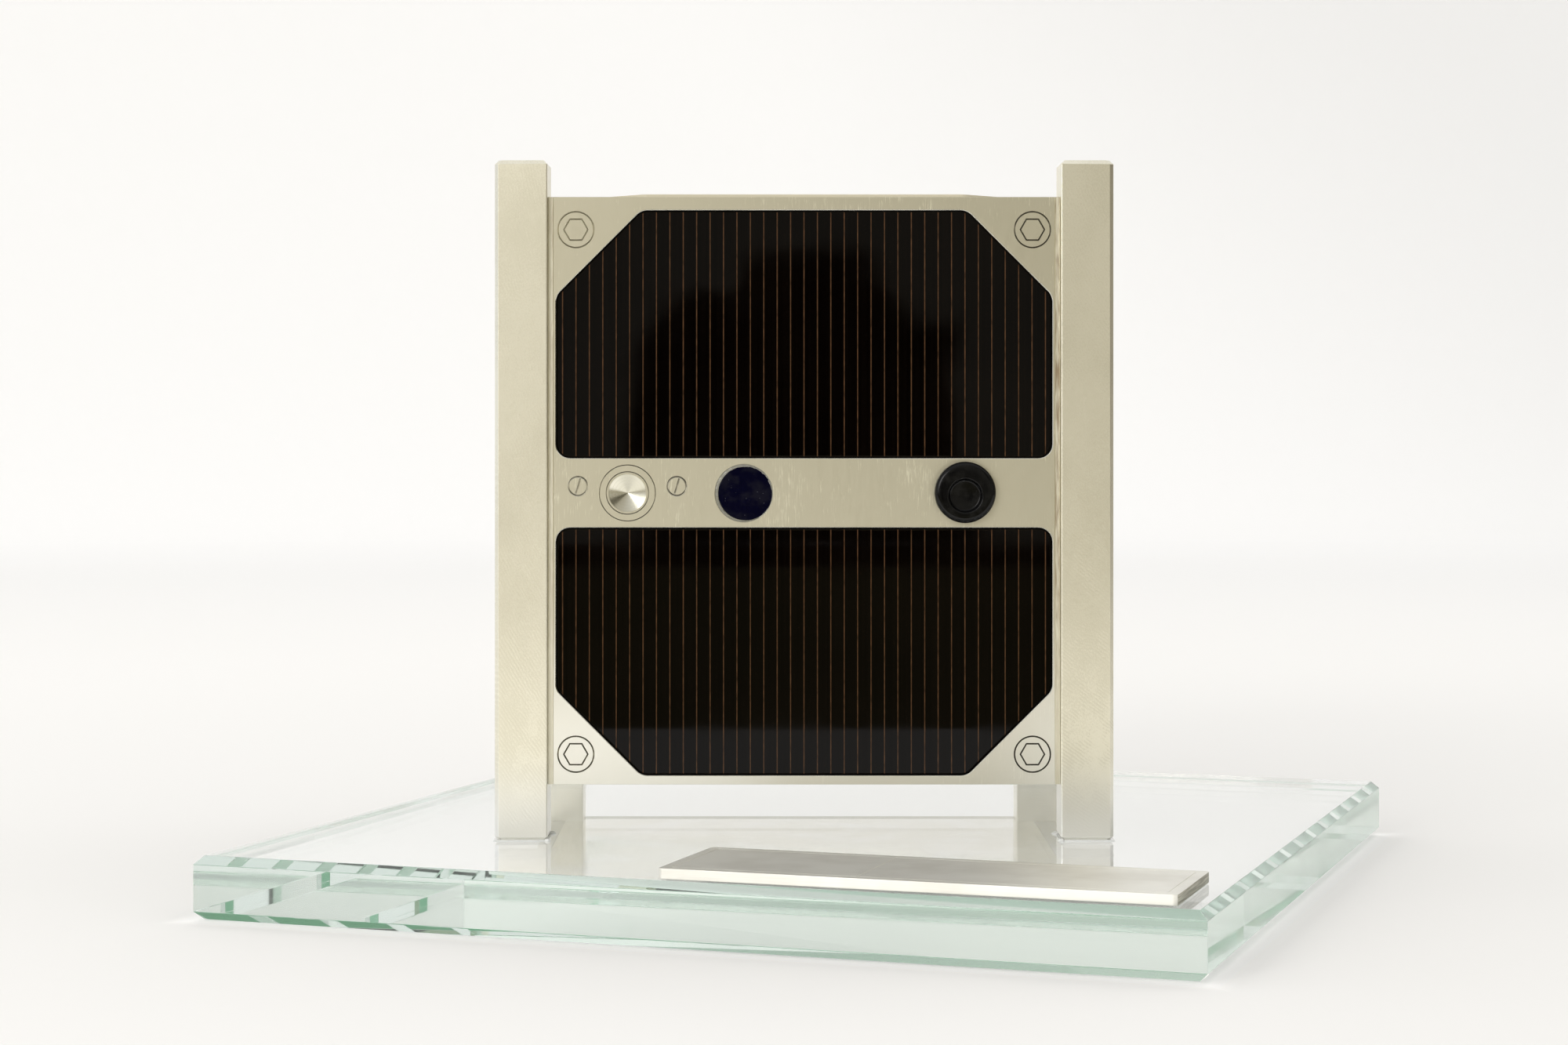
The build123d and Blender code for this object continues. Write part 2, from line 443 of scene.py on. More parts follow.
@dataclass(frozen=True)
class PaintedSheenMetal(MachinedMetal):
    """Metal with a painted sheen: paler towards the bottom, where it stands for the light floor
    reflected in it.
    """

    # painted sheen: a paler colour mixed in low down and towards the sides, standing for the
    # floor's reflection
    paler_tone: Colour = (1.0, 0.99, 0.93)
    sheen_full_below: float = 24.0
    plain_above: float = 54.0
    middle: float = 8.0  # in X, and the share of it there
    least: float = 0.45
    most: float = 0.85  # and towards the sides
    at_back: float = 0.15  # how much of the painted sheen is left behind

    def tone(self, graph: Graph, marks: Socket) -> Socket:
        """The metal's colour, with a painted sheen low down.

        Args:
            graph: the material's graph.
            marks: the height of the tool marks.

        Returns:
            The colour.
        """
        x, y, z = graph.split(graph.place((self.middle, 0.0, 0.0)))
        low = graph.ramp(z, self.sheen_full_below, self.plain_above, 1.0, 0.0)
        front = graph.ramp(y, 0.0, 40.0, 1.0, self.at_back)
        sheen_share = graph.ramp(graph.math("ABSOLUTE", x), 12.0, 30.0, self.least, self.most)
        sheen_share = graph.math("MULTIPLY", sheen_share, front)
        marked = super().tone(graph, marks)
        return graph.mix(graph.math("MULTIPLY", low, sheen_share), marked, self.paler_tone)


@dataclass(frozen=True)
class PaintedShadeStep(MachinedMetal):
    """The narrow steps beside the rails, with painted brown shading on them."""

    painted_brown_shade: Colour = (0.40, 0.315, 0.22)

    def tone(self, graph: Graph, marks: Socket) -> Socket:
        """The metal's colour under its painted brown shading, weaker low down and to the left.

        Args:
            graph: the material's graph.
            marks: the height of the tool marks.

        Returns:
            The colour.
        """
        streak = graph.grain((0.35, 0.35, 3.5))
        patch = graph.grain((6.0, 6.0, 19.0))
        x, _, z = graph.split(graph.place())
        left = graph.ramp(z, 24.0, 60.0, 0.15, 1.0)
        to_right = graph.ramp(x, -30.0, 40.0, 0.35, 1.0)
        # painted brown shading, in streaks and patches, stronger higher up and to the right
        brown_shaded = graph.ramp(graph.math("ADD", streak, patch), 0.72, 1.25)
        brown_shaded = graph.math("MULTIPLY", brown_shaded, graph.math("MULTIPLY", left, to_right))
        return graph.mix(brown_shaded, super().tone(graph, marks), self.painted_brown_shade)


@dataclass(frozen=True)
class SolarCell(Finish):
    """A near-black glossy cell with fine brown contact lines."""

    across: int  # the axis that runs across the lines
    outward: int  # the axis that the cell faces along
    ground: Colour = (0.0009, 0.0005, 0.0003)
    ground_light: Colour = (0.0021, 0.0013, 0.0008)
    line: Colour = (0.085, 0.043, 0.021)
    edge: Colour = (0.06, 0.05, 0.035)
    pitch: float = 2.171
    first_line: float = -39.1
    half_width: float = 0.12
    gloss: float = 0.12

    def surface(self, graph: Graph) -> Inputs:
        """A cell's cover glass, the lines under it and its cut edge.

        Args:
            graph: the material's graph.

        Returns:
            What goes into the shader's sockets.
        """
        u = graph.split(graph.place((*BODY_CENTRE, 0.0)))[self.across]
        offset = graph.math("SUBTRACT", u, self.first_line)
        distance = graph.math("PINGPONG", offset, self.pitch / 2)
        on_line = graph.ramp(distance, self.half_width * 0.45, self.half_width, 1.0, 0.0)
        worn = graph.ramp(graph.grain((2.2, 2.2, 1.6), 3.0), 0.2, 0.7, 0.35, 1.0)
        strip = graph.grain((0.22, 0.22, 60.0), 1.0)
        cloud = graph.grain((24.0, 24.0, 15.0))
        ground_tone = graph.math("MULTIPLY", graph.math("ADD", strip, cloud), 0.5)
        ground = graph.mix(graph.ramp(ground_tone, 0.36, 0.66), self.ground, self.ground_light)
        smear = graph.grain((9.0, 9.0, 6.0), 3.0)
        face = graph.mix(graph.math("MULTIPLY", on_line, worn), ground, self.line)
        on_face = graph.math("ABSOLUTE", graph.facing(self.outward))
        return {
            "Base Color": graph.mix(graph.ramp(on_face, 0.4, 0.8, 1.0, 0.0), face, self.edge),
            "Roughness": graph.ramp(smear, 0.3, 0.8, 0.02, 0.055),
            "Specular IOR Level": self.gloss,
            "Normal": graph.bump(on_line, 0.003, 0.6),
        }


@dataclass(frozen=True)
class ClearGlass(Finish):
    """Polished float glass with the faint green of its thickness."""

    tint: Colour = (0.80, 0.93, 0.865)
    density: float = 3.8
    skin: Colour = (1.0, 1.0, 1.0)
    polish: Pair = (0.0, 0.025)
    haze: float = 0.0
    refraction: float = 1.52

    def surface(self, graph: Graph) -> Inputs:
        """A polished face, a little smeared.

        Args:
            graph: the material's graph.

        Returns:
            What goes into the shader's sockets.
        """
        smear = graph.grain((22.0, 22.0, 22.0), 3.0)
        return {
            "Base Color": self.skin,
            "Roughness": graph.ramp(smear, 0.45, 0.8, *self.polish),
            "IOR": self.refraction,
            "Transmission Weight": 1.0 - self.haze,
        }

    def volume(self, graph: Graph) -> Inputs:
        """What fills the body: the green of its thickness."""
        green = graph.add("VolumeAbsorption", {"Color": self.tint, "Density": self.density})
        return {"Volume": green.outputs[0]}


@dataclass(frozen=True)
class Glue(Finish):
    """Clear set glue, a little cloudy."""

    body: Colour = (0.93, 0.94, 0.93)
    clear: float = 0.75
    refraction: float = 1.48

    def surface(self, graph: Graph) -> Inputs:
        """A rippled skin.

        Args:
            graph: the material's graph.

        Returns:
            What goes into the shader's sockets.
        """
        ripple = graph.grain((0.9, 0.9, 0.9))
        return {
            "Base Color": self.body,
            "Roughness": graph.ramp(ripple, 0.3, 0.7, 0.06, 0.22),
            "IOR": self.refraction,
            "Transmission Weight": self.clear,
            "Normal": graph.bump(ripple, 0.08, 0.5),
        }


@dataclass(frozen=True)
class DarkGlass(Finish):
    """The window: dark blue glass, lighter in cloudy patches, with dust on it."""

    deep: Colour = (0.0020, 0.0020, 0.0095)
    cloudy: Colour = (0.0075, 0.0075, 0.0135)
    dust: Colour = (0.11, 0.11, 0.12)
    gloss: float = 0.12

    def surface(self, graph: Graph) -> Inputs:
        """A glossy face with specks.

        Args:
            graph: the material's graph.

        Returns:
            What goes into the shader's sockets.
        """
        cloud = graph.ramp(graph.grain((3.1, 3.1, 2.4), 4.0, 0.6), 0.42, 0.66)
        specks = graph.ramp(graph.grain((0.24, 0.24, 0.24), 1.0), 0.76, 0.82)
        colour = graph.mix(cloud, self.deep, self.cloudy)
        return {
            "Base Color": graph.mix(specks, colour, self.dust),
            "Roughness": graph.ramp(specks, 0.0, 1.0, 0.05, 0.5),
            "Specular IOR Level": self.gloss,
            "Normal": graph.bump(specks, 0.01, 0.5),
        }


@dataclass(frozen=True)
class BlackRubber(Finish):
    """Moulded black rubber or plastic with a fine, slightly dusty skin."""

    skin: Colour = (0.0016, 0.0016, 0.0018)
    paler_tone: Colour = (0.0045, 0.0043, 0.0038)
    polish: Pair = (0.07, 0.27)
    gloss: float = 0.21

    def surface(self, graph: Graph) -> Inputs:
        """A moulded skin, rubbed in places.

        Args:
            graph: the material's graph.

        Returns:
            What goes into the shader's sockets.
        """
        grain = graph.grain((0.16, 0.16, 0.16), 3.0, 0.6)
        wear = graph.grain((1.6, 1.6, 1.6), 3.0)
        return {
            "Base Color": graph.mix(graph.ramp(wear, 0.45, 0.75), self.skin, self.paler_tone),
            "Roughness": graph.ramp(wear, 0.3, 0.7, *self.polish),
            "Specular IOR Level": self.gloss,
            "Normal": graph.bump(grain, 0.012, 0.5),
        }


@dataclass(frozen=True)
class FoamTape(Finish):
    """Thin grey double-sided tape, its cut edge a little ragged."""

    pale: Colour = (0.52, 0.51, 0.47)
    dark: Colour = (0.26, 0.25, 0.22)
    roughness: float = 0.8

    def surface(self, graph: Graph) -> Inputs:
        """A cut face of foam.

        Args:
            graph: the material's graph.

        Returns:
            What goes into the shader's sockets.
        """
        cells = graph.grain((0.5, 0.5, 0.15), 3.0, 0.7)
        return {
            "Base Color": graph.mix(graph.ramp(cells, 0.3, 0.7), self.dark, self.pale),
            "Roughness": self.roughness,
            "Normal": graph.bump(cells, 0.03, 0.6),
        }


@dataclass(frozen=True)
class StudioPaper(Finish):
    """Matt white background paper with a painted glow of its own, stronger in places."""

    tone: Colour = (0.87, 0.861, 0.847)
    tone_far: Colour = (0.87, 0.868, 0.868)
    glow: Colour = (0.87, 0.867, 0.862)
    glow_near: float = 0.07  # painted glow of the paper itself, left of the plinth
    glow_beside: float = 0.06  # right of it
    glow_under: float = 0.50  # painted glow under it, standing for light through the glass
    under_edge: Pair = (76.0, 84.8)  # where that fades, from the plinth's middle
    glow_floor: float = 0.12  # across the floor
    glow_far: float = 0.23  # and where the paper turns up
    glow_right: float = 0.45  # how much of that is left at the upper right: painted shade there

    def surface(self, graph: Graph) -> Inputs:
        """A matt face with its own glow.

        Args:
            graph: the material's graph.

        Returns:
            What goes into the shader's sockets.
        """
        fibre = graph.grain((2.0, 2.0, 2.0), 4.0, 0.6)
        place = graph.place()
        distance = graph.length(place)
        x, _, z = graph.split(place)
        turned = graph.split(graph.place(turn=PLINTH_TURN))
        beside = graph.math("MAXIMUM", *(graph.math("ABSOLUTE", part) for part in turned[:2]))
        near = graph.ramp(x, -20.0, 120.0, self.glow_near, self.glow_beside)
        under = graph.ramp(beside, *self.under_edge, self.glow_under - self.glow_near, 0.0)
        floor = graph.ramp(distance, 130.0, 500.0, 0.0, self.glow_floor - self.glow_near)
        far = graph.ramp(distance, 900.0, 1600.0, 0.0, self.glow_far - self.glow_floor)
        outward = graph.math("ADD", x, graph.math("MULTIPLY", z, 0.8))
        # painted shade: the glow fades towards the upper right
        side = graph.ramp(outward, 200.0, 900.0, 1.0, self.glow_right)
        glow = graph.math("ADD", graph.math("ADD", near, under), graph.math("ADD", floor, far))
        farther = graph.ramp(distance, 400.0, 1300.0)
        return {
            "Base Color": graph.mix(farther, self.tone, self.tone_far),
            "Roughness": 1.0,
            "Specular IOR Level": 0.0,
            "Emission Color": self.glow,
            "Emission Strength": graph.math("MULTIPLY", glow, side),
            "Normal": graph.bump(fibre, 0.02, 0.3),
        }


# --- Mesh work ---


def turned(axis: str, degrees: float) -> Matrix:
    """A turn about an axis through the origin."""
    return Matrix.Rotation(math.radians(degrees), 4, axis)


def moved(*place: float) -> Matrix:
    """A move to a place in millimetres."""
    return Matrix.Translation(Vector(place) * MM)


def put(mesh: Mesh, place: Matrix) -> None:
    """Move a whole mesh to its place."""
    bmesh.ops.transform(mesh, matrix=place, verts=mesh.verts)


def new_block(*sides: float) -> Mesh:
    """Make a block about the origin.

    Args:
        sides: along X, Y and Z, in millimetres.

    Returns:
        Its mesh.
    """
    mesh = bmesh.new()
    bmesh.ops.create_cube(mesh, size=MM)
    bmesh.ops.scale(mesh, vec=sides, verts=mesh.verts)
    return mesh


def new_rectangle(width: float, height: float) -> Mesh:
    """Make one level face about the origin.

    Args:
        width: along X, in millimetres.
        height: along Y.

    Returns:
        Its mesh.
    """
    mesh = bmesh.new()
    bmesh.ops.create_grid(mesh, x_segments=1, y_segments=1, size=MM)
    bmesh.ops.scale(mesh, vec=(width / 2, height / 2, 1.0), verts=mesh.verts)
    mesh.faces.ensure_lookup_table()
    return mesh


def draw_line(mesh: Mesh, places: Iterable[Triple]) -> list[Vert | Edge]:
    """Draw a line through places in the mesh.

    Args:
        mesh: the mesh.
        places: the places, in metres.

    Returns:
        The line's vertices and edges.
    """
    points = [mesh.verts.new(place) for place in places]
    return [*points, *(mesh.edges.new(pair) for pair in zip(points, points[1:]))]


def lathe(mesh: Mesh, profile: Iterable[Pair], steps: int) -> None:
    """Spin a profile about Z into the mesh.

    Args:
        mesh: the mesh that gets the form.
        profile: pairs of radius and height, in millimetres.
        steps: how many faces go round.
    """
    bmesh.ops.spin(
        mesh,
        geom=draw_line(mesh, ((radius * MM, 0.0, height * MM) for radius, height in profile)),
        cent=(0.0, 0.0, 0.0),
        axis=(0.0, 0.0, 1.0),
        angle=math.tau,
        steps=steps,
        use_merge=True,
    )
    bmesh.ops.remove_doubles(mesh, verts=mesh.verts, dist=SAME)
    bmesh.ops.recalc_face_normals(mesh, faces=mesh.faces)


def extrude(mesh: Mesh, faces: list[Face], along: Triple, keep: bool = False) -> None:
    """Draw faces out, with walls behind them.

    Args:
        mesh: the mesh.
        faces: the faces.
        along: which way and how far, in millimetres.
        keep: whether a face stays where they were.
    """
    made = bmesh.ops.extrude_face_region(mesh, geom=faces, use_keep_orig=keep)["geom"]
    corners = [item for item in made if isinstance(item, Vert)]
    bmesh.ops.translate(mesh, vec=Vector(along) * MM, verts=corners)


def bevel_edges(
    mesh: Mesh, wanted: Callable[[Edge], bool], width: float, segments: int
) -> None:
    """Round or cut the edges that a test picks.

    Args:
        mesh: the mesh to work on.
        wanted: says whether an edge is cut.
        width: how far the cut reaches along each face, in millimetres.
        segments: faces across the cut.
    """
    bmesh.ops.bevel(
        mesh,
        geom=[edge for edge in mesh.edges if wanted(edge)],
        offset=width * MM,
        offset_type="OFFSET",
        segments=segments,
        profile=0.5,
        affect="EDGES",
        material=-1,
        clamp_overlap=True,
    )


def bevel_corners(
    mesh: Mesh, wanted: Callable[[Vert], bool], size: float, segments: int
) -> None:
    """Cut off or round the corners of a flat face that a test picks.

    Args:
        mesh: the mesh.
        wanted: says whether a corner is cut.
        size: how far the cut reaches along each edge, in millimetres.
        segments: 1 for a straight cut.
    """
    bmesh.ops.bevel(
        mesh,
        geom=[corner for corner in mesh.verts if wanted(corner)],
        offset=size * MM,
        offset_type="OFFSET",
        segments=segments,
        profile=0.5,
        affect="VERTICES",
        material=-1,
    )
    mesh.faces.ensure_lookup_table()


def ring_at(radius: float, height: float) -> Callable[[Edge], bool]:
    """A test for the edges of a ring about Z.

    Args:
        radius: the ring's radius, in millimetres.
        height: the ring's height, in millimetres.

    Returns:
        The test.
    """

    def on_ring(edge: Edge) -> bool:
        """Whether both ends of the edge lie on the ring."""
        return all(
            abs(math.hypot(v.co.x, v.co.y) - radius * MM) < 1e-6
            and abs(v.co.z - height * MM) < 1e-6
            for v in edge.verts
        )

    return on_ring


def is_level(edge: Edge) -> bool:
    """Whether the edge runs level."""
    return abs(edge.verts[0].co.z - edge.verts[1].co.z) < SAME


def is_crease(edge: Edge) -> bool:
    """Whether two faces meet at a clear angle along the edge."""
    return len(edge.link_faces) == 2 and edge.calc_face_angle() > math.radians(20)


def absorb(mesh: Mesh, part: Mesh) -> None:
    """Add one mesh to another.

    Args:
        mesh: the mesh that grows.
        part: the mesh that is added. It is freed.
    """
    spare = bpy.data.meshes.new("spare")
    part.to_mesh(spare)
    part.free()
    mesh.from_mesh(spare)
    bpy.data.meshes.remove(spare)


def sink(mesh: Mesh, face: Face, inward: float, drop: float) -> list[Face]:
    """Draw a level face in and down, with a slope all round it.

    Args:
        mesh: the mesh.
        face: the face.
        inward: how far its outline moves in, in millimetres.
        drop: how far it goes down, in millimetres.

    Returns:
        The slope's faces.
    """
    slopes = bmesh.ops.inset_region(
        mesh, faces=[face], thickness=inward * MM, use_boundary=True, use_even_offset=True
    )["faces"]
    bmesh.ops.translate(mesh, vec=(0.0, 0.0, -drop * MM), verts=face.verts)
    return slopes


def make_piece(
    mesh: Mesh,
    name: str,
    material: Material,
    slot: str | None = None,
    stands_for: tuple[str, ...] = (),
    smooth: bool = True,
    more: Sequence[Material] = (),
) -> bpy.types.Object:
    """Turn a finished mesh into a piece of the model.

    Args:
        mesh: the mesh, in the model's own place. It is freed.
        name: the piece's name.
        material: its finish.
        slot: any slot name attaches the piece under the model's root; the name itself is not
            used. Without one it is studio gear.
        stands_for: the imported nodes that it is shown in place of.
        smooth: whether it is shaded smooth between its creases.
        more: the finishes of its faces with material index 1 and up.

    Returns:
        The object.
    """
    for face in mesh.faces:
        face.smooth = smooth
    for edge in mesh.edges:
        edge.smooth = not is_crease(edge)
    data = bpy.data.meshes.new(name)
    mesh.to_mesh(data)
    mesh.free()
    for finish in (material, *more):
        data.materials.append(finish)
    piece = bpy.data.objects.new(name, data)
    bpy.context.scene.collection.objects.link(piece)
    if slot is None:
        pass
    else:
        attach(piece, "root")
    if stands_for:
        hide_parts(*stands_for)
    log.info("piece %s: %d faces", name, len(data.polygons))
    return piece


def dress(node: str, material: Material) -> None:
    """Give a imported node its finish.

    Args:
        node: the node's name.
        material: the finish.
    """
    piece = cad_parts[node]
    if not piece.material_slots:
        piece.data.materials.append(material)
    for holder in piece.material_slots:
        holder.material = material
    log.info("node %s: %s", node, material.name)


# --- Sub-assemblies ---


@dataclass
class Plinth:
    """The square glass plate, bevelled along its upper and lower edges."""

    side: float = 160.0
    thick: float = 9.99  # a hair of air under what stands on it
    bevel: float = 1.3
    arris: float = 0.06  # the softened line where two polished faces meet
    face: ClearGlass = ClearGlass("plinth_glass")
    ground_bevel: ClearGlass = ClearGlass(
        "plinth_bevel_glass", skin=(0.93, 0.98, 0.96), polish=(0.0, 0.02), haze=0.06
    )
    cut_side: ClearGlass = ClearGlass(
        "plinth_side_glass", skin=(0.97, 0.99, 0.98), polish=(0.02, 0.09), haze=0.05
    )

    def build(self) -> None:
        """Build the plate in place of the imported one."""
        mesh = new_block(self.side, self.side, self.thick)
        bevel_edges(mesh, is_level, self.bevel, 1)
        bevel_edges(mesh, is_crease, self.arris, 2)
        for face in mesh.faces:
            level = abs(face.normal.z)
            face.material_index = 0 if level > 0.95 else 1 if level > 0.2 else 2
        put(mesh, moved(0.0, 0.0, self.thick / 2) @ turned("Z", PLINTH_TURN))
        make_piece(
            mesh,
            "plinth",
            self.face.build(),
            "glass",
            ("glass_plinth",),
            smooth=False,
            more=(self.ground_bevel.build(), self.cut_side.build()),
        )


@dataclass
class Plaque:
    """The blank metal plaque, with its fine engraved border and divider."""

    width: float = 78.0
    depth: float = 23.5
    thick: float = 1.6
    corner: float = 0.8
    arris: float = 0.10
    lift: float = 0.15  # the tape under it
    turn: float = PLAQUE_TURN
    centre: Pair = (36.2, -66.35)  # on the plinth, before the plinth's turn
    border_inset: float = 1.7
    divider: float = -8.5  # from the plaque's middle
    line_width: float = 0.22
    line_depth: float = 0.06
    metal: MachinedMetal = MachinedMetal(
        "plaque_metal",
        Brush.LENGTHWISE,
        clean=(0.90, 0.89, 0.83),
        dull=(0.80, 0.785, 0.72),
        roughness=0.48,
        mark_depth=0.0025,
        bare=0.6,
        turn=PLINTH_TURN + PLAQUE_TURN,
    )
    sawn: MachinedMetal = MachinedMetal(
        "plaque_sawn_end",
        Brush.LENGTHWISE,
        clean=(0.70, 0.68, 0.60),
        dull=(0.42, 0.40, 0.34),
        roughness=0.6,
        contrast=1.5,
        turn=PLINTH_TURN + PLAQUE_TURN + 90.0,
    )
    tape: FoamTape = FoamTape("plaque_tape_foam")

    def build(self) -> None:
        """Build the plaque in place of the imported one, and dress its tape."""
        mesh = new_block(self.width, self.depth, self.thick)
        bevel_edges(mesh, lambda edge: not is_level(edge), self.corner, 6)
        bevel_edges(mesh, is_crease, self.arris, 2)
        for face in mesh.faces:
            face.material_index = int(abs(face.normal.x) > 0.8)
        self._engrave(mesh)
        middle = moved(*self.centre, GLASS_TOP + self.lift + self.thick / 2)
        put(mesh, turned("Z", PLINTH_TURN) @ middle @ turned("Z", self.turn))
        metal, sawn = self.metal.build(), self.sawn.build()
        make_piece(mesh, "plaque_plate", metal, "plaque_metal", ("plaque",), more=(sawn,))
        dress("plaque_tape", self.tape.build())

    def _engrave(self, mesh: Mesh) -> None:
        """Cut the border and the divider into the upper face.

        Args:
            mesh: the plate, lying about the origin.
        """
        right, back = self.width / 2 - self.border_inset, self.depth / 2 - self.border_inset
        half = self.line_width / 2
        upright, level = (-right, self.divider, right), (-back, back)
        for axis, lines in enumerate((upright, level)):
            for line, edge in product(lines, (-half, half)):
                self._cut(mesh, axis, line + edge)
        sunk = [
            face
            for face in self._top(mesh)
            if self._on_line(face.calc_center_median() / MM, upright, level, half)
        ]
        extrude(mesh, sunk, (0.0, 0.0, -self.line_depth))
        bmesh.ops.delete(mesh, geom=sunk, context="FACES_ONLY")

    @staticmethod
    def _top(mesh: Mesh) -> list[Face]:
        """The faces that make up the plate's upper face."""
        return [face for face in mesh.faces if face.normal.z > 0.99]

    def _cut(self, mesh: Mesh, axis: int, at: float) -> None:
        """Cut the upper face along a line across one axis.

        Args:
            mesh: the plate.
            axis: 0 for X and 1 for Y.
            at: where along that axis, in millimetres.
        """
        top = self._top(mesh)
        edges = {edge for face in top for edge in face.edges}
        corners = {vert for face in top for vert in face.verts}
        normal = Vector((1.0 - axis, axis, 0.0))
        bmesh.ops.bisect_plane(
            mesh,
            geom=[*top, *edges, *corners],
            dist=SAME / 10,
            plane_co=normal * (at * MM),
            plane_no=normal,
        )

    @staticmethod
    def _on_line(place: Vector, upright: Triple, level: Pair, half: float) -> bool:
        """Whether a place on the upper face lies on the border or the divider.

        Args:
            place: the place, in millimetres.
            upright: where the lines across X are.
            level: where the lines across Y are.
            half: half of a line's width.

        Returns:
            True if it lies on a line.
        """
        inside_x = upright[0] - half < place.x < upright[-1] + half
        inside_y = level[0] - half < place.y < level[-1] + half
        on_upright = any(abs(place.x - line) < half for line in upright)
        on_level = any(abs(place.y - line) < half for line in level)
        return inside_x and inside_y and (on_upright or on_level)


def on_side(turn: float) -> Matrix:
    """The place of a side panel's face, its Z pointing out and its Y up.

    Args:
        turn: the side's turn from the front, in degrees.

    Returns:
        The transform from the panel's own frame.
    """
    middle, out = moved(*BODY_CENTRE, PANEL_MIDDLE), moved(0.0, -FACE_INSET, 0.0)
    return middle @ turned("Z", turn) @ out @ turned("X", 90.0)


@dataclass
class Rails:
    """The four square rails, their edges cut off, the outermost one the most."""

    side: float = RAIL_SIDE
    over: float = 100.0  # across two rails
    low: float = 10.0
    high: float = 119.995
    outer_cut: float = 0.58
    inner_cut: float = 0.14
    end_cut: float = 0.6
    arris: float = 0.03
    metal: PaintedSheenMetal = PaintedSheenMetal(
        "rail_aluminium",
        Brush.FLY_CUT,
        clean=(0.94, 0.905, 0.765),
        dull=(0.85, 0.815, 0.675),
        roughness=0.34,
        contrast=1.2,
        mark_depth=0.014,
        # painted sheen: the rails' feet are painted paler, standing for the floor's reflection
        paler_tone=(1.0, 0.99, 0.95),
        sheen_full_below=11.0,
        plain_above=26.0,
        least=0.9,
        most=0.9,
    )

    def build(self) -> None:
        """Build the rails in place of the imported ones."""
        metal = self.metal.build()
        centre = (self.over - self.side) / 2
        for corner, x_side, y_side in CORNERS:
            mesh = new_block(self.side, self.side, self.high - self.low)
            bevel_edges(mesh, self._is_end, self.end_cut, 1)
            for x, y in product((-1, 1), repeat=2):
                outer = (x, y) == (x_side, y_side)
                cut = self.outer_cut if outer else self.inner_cut
                bevel_edges(mesh, self._at_corner(x, y), cut, 1)
            bevel_edges(mesh, is_crease, self.arris, 1)
            x, y = BODY_CENTRE[0] + x_side * centre, BODY_CENTRE[1] + y_side * centre
            put(mesh, moved(x, y, (self.low + self.high) / 2))
            name, node = f"corner_rail_{corner}", f"rail_{corner}"
            make_piece(mesh, name, metal, "rail_metal", (node,), smooth=False)

    def _at_corner(self, x: int, y: int) -> Callable[[Edge], bool]:
        """A test for the upright edge at one corner of the bar, and its slanting ends.

        Args:
            x: side in X.
            y: side in Y.

        Returns:
            The test.
        """
        corner = Vector((x, y)) * self.side / 2 * MM
        reach = (self.end_cut * math.sqrt(2.0) + 0.001) * MM

        def is_there(edge: Edge) -> bool:
            """Whether both ends of the edge are at the corner."""
            return all((v.co.xy - corner).length < reach for v in edge.verts)

        return is_there

    def _is_end(self, edge: Edge) -> bool:
        """Whether the edge lies round one end of the bar."""
        half = (self.high - self.low) / 2 * MM
        return is_level(edge) and abs(abs(edge.verts[0].co.z) - half) < SAME


@dataclass(frozen=True)
class CellShape:
    """A cell's outline: a rectangle with two corners cut off, and all rounded."""

    width: float = 79.8
    height: float = 39.55
    cut: float = 13.65
    corner: float = 2.0
    rise: float = 25.32  # from the panel's middle to a cell's
    drop: float = -26.05

    def face(self, upper: bool, grow: float = 0.0) -> Mesh:
        """Make the outline as one level face.

        Args:
            upper: whether it is the upper cell's, cut at the top.
            grow: how far out the outline is moved, in millimetres.

        Returns:
            A mesh with that face.
        """
        mesh = new_rectangle(self.width + 2 * grow, self.height + 2 * grow)
        cut_side = 1 if upper else -1
        cut = self.cut + grow * (2.0 - math.sqrt(2.0))
        radius = self.corner + grow
        blunt = radius * math.tan(math.radians(22.5))
        bevel_corners(mesh, lambda v: v.co.y * cut_side > 0.0, cut, 1)
        bevel_corners(mesh, lambda v: v.co.y * cut_side > 0.0, blunt, 5)
        bevel_corners(mesh, lambda v: v.co.y * cut_side < 0.0, radius, 8)
        put(mesh, moved(0.0, self.rise if upper else self.drop, 0.0))
        return mesh


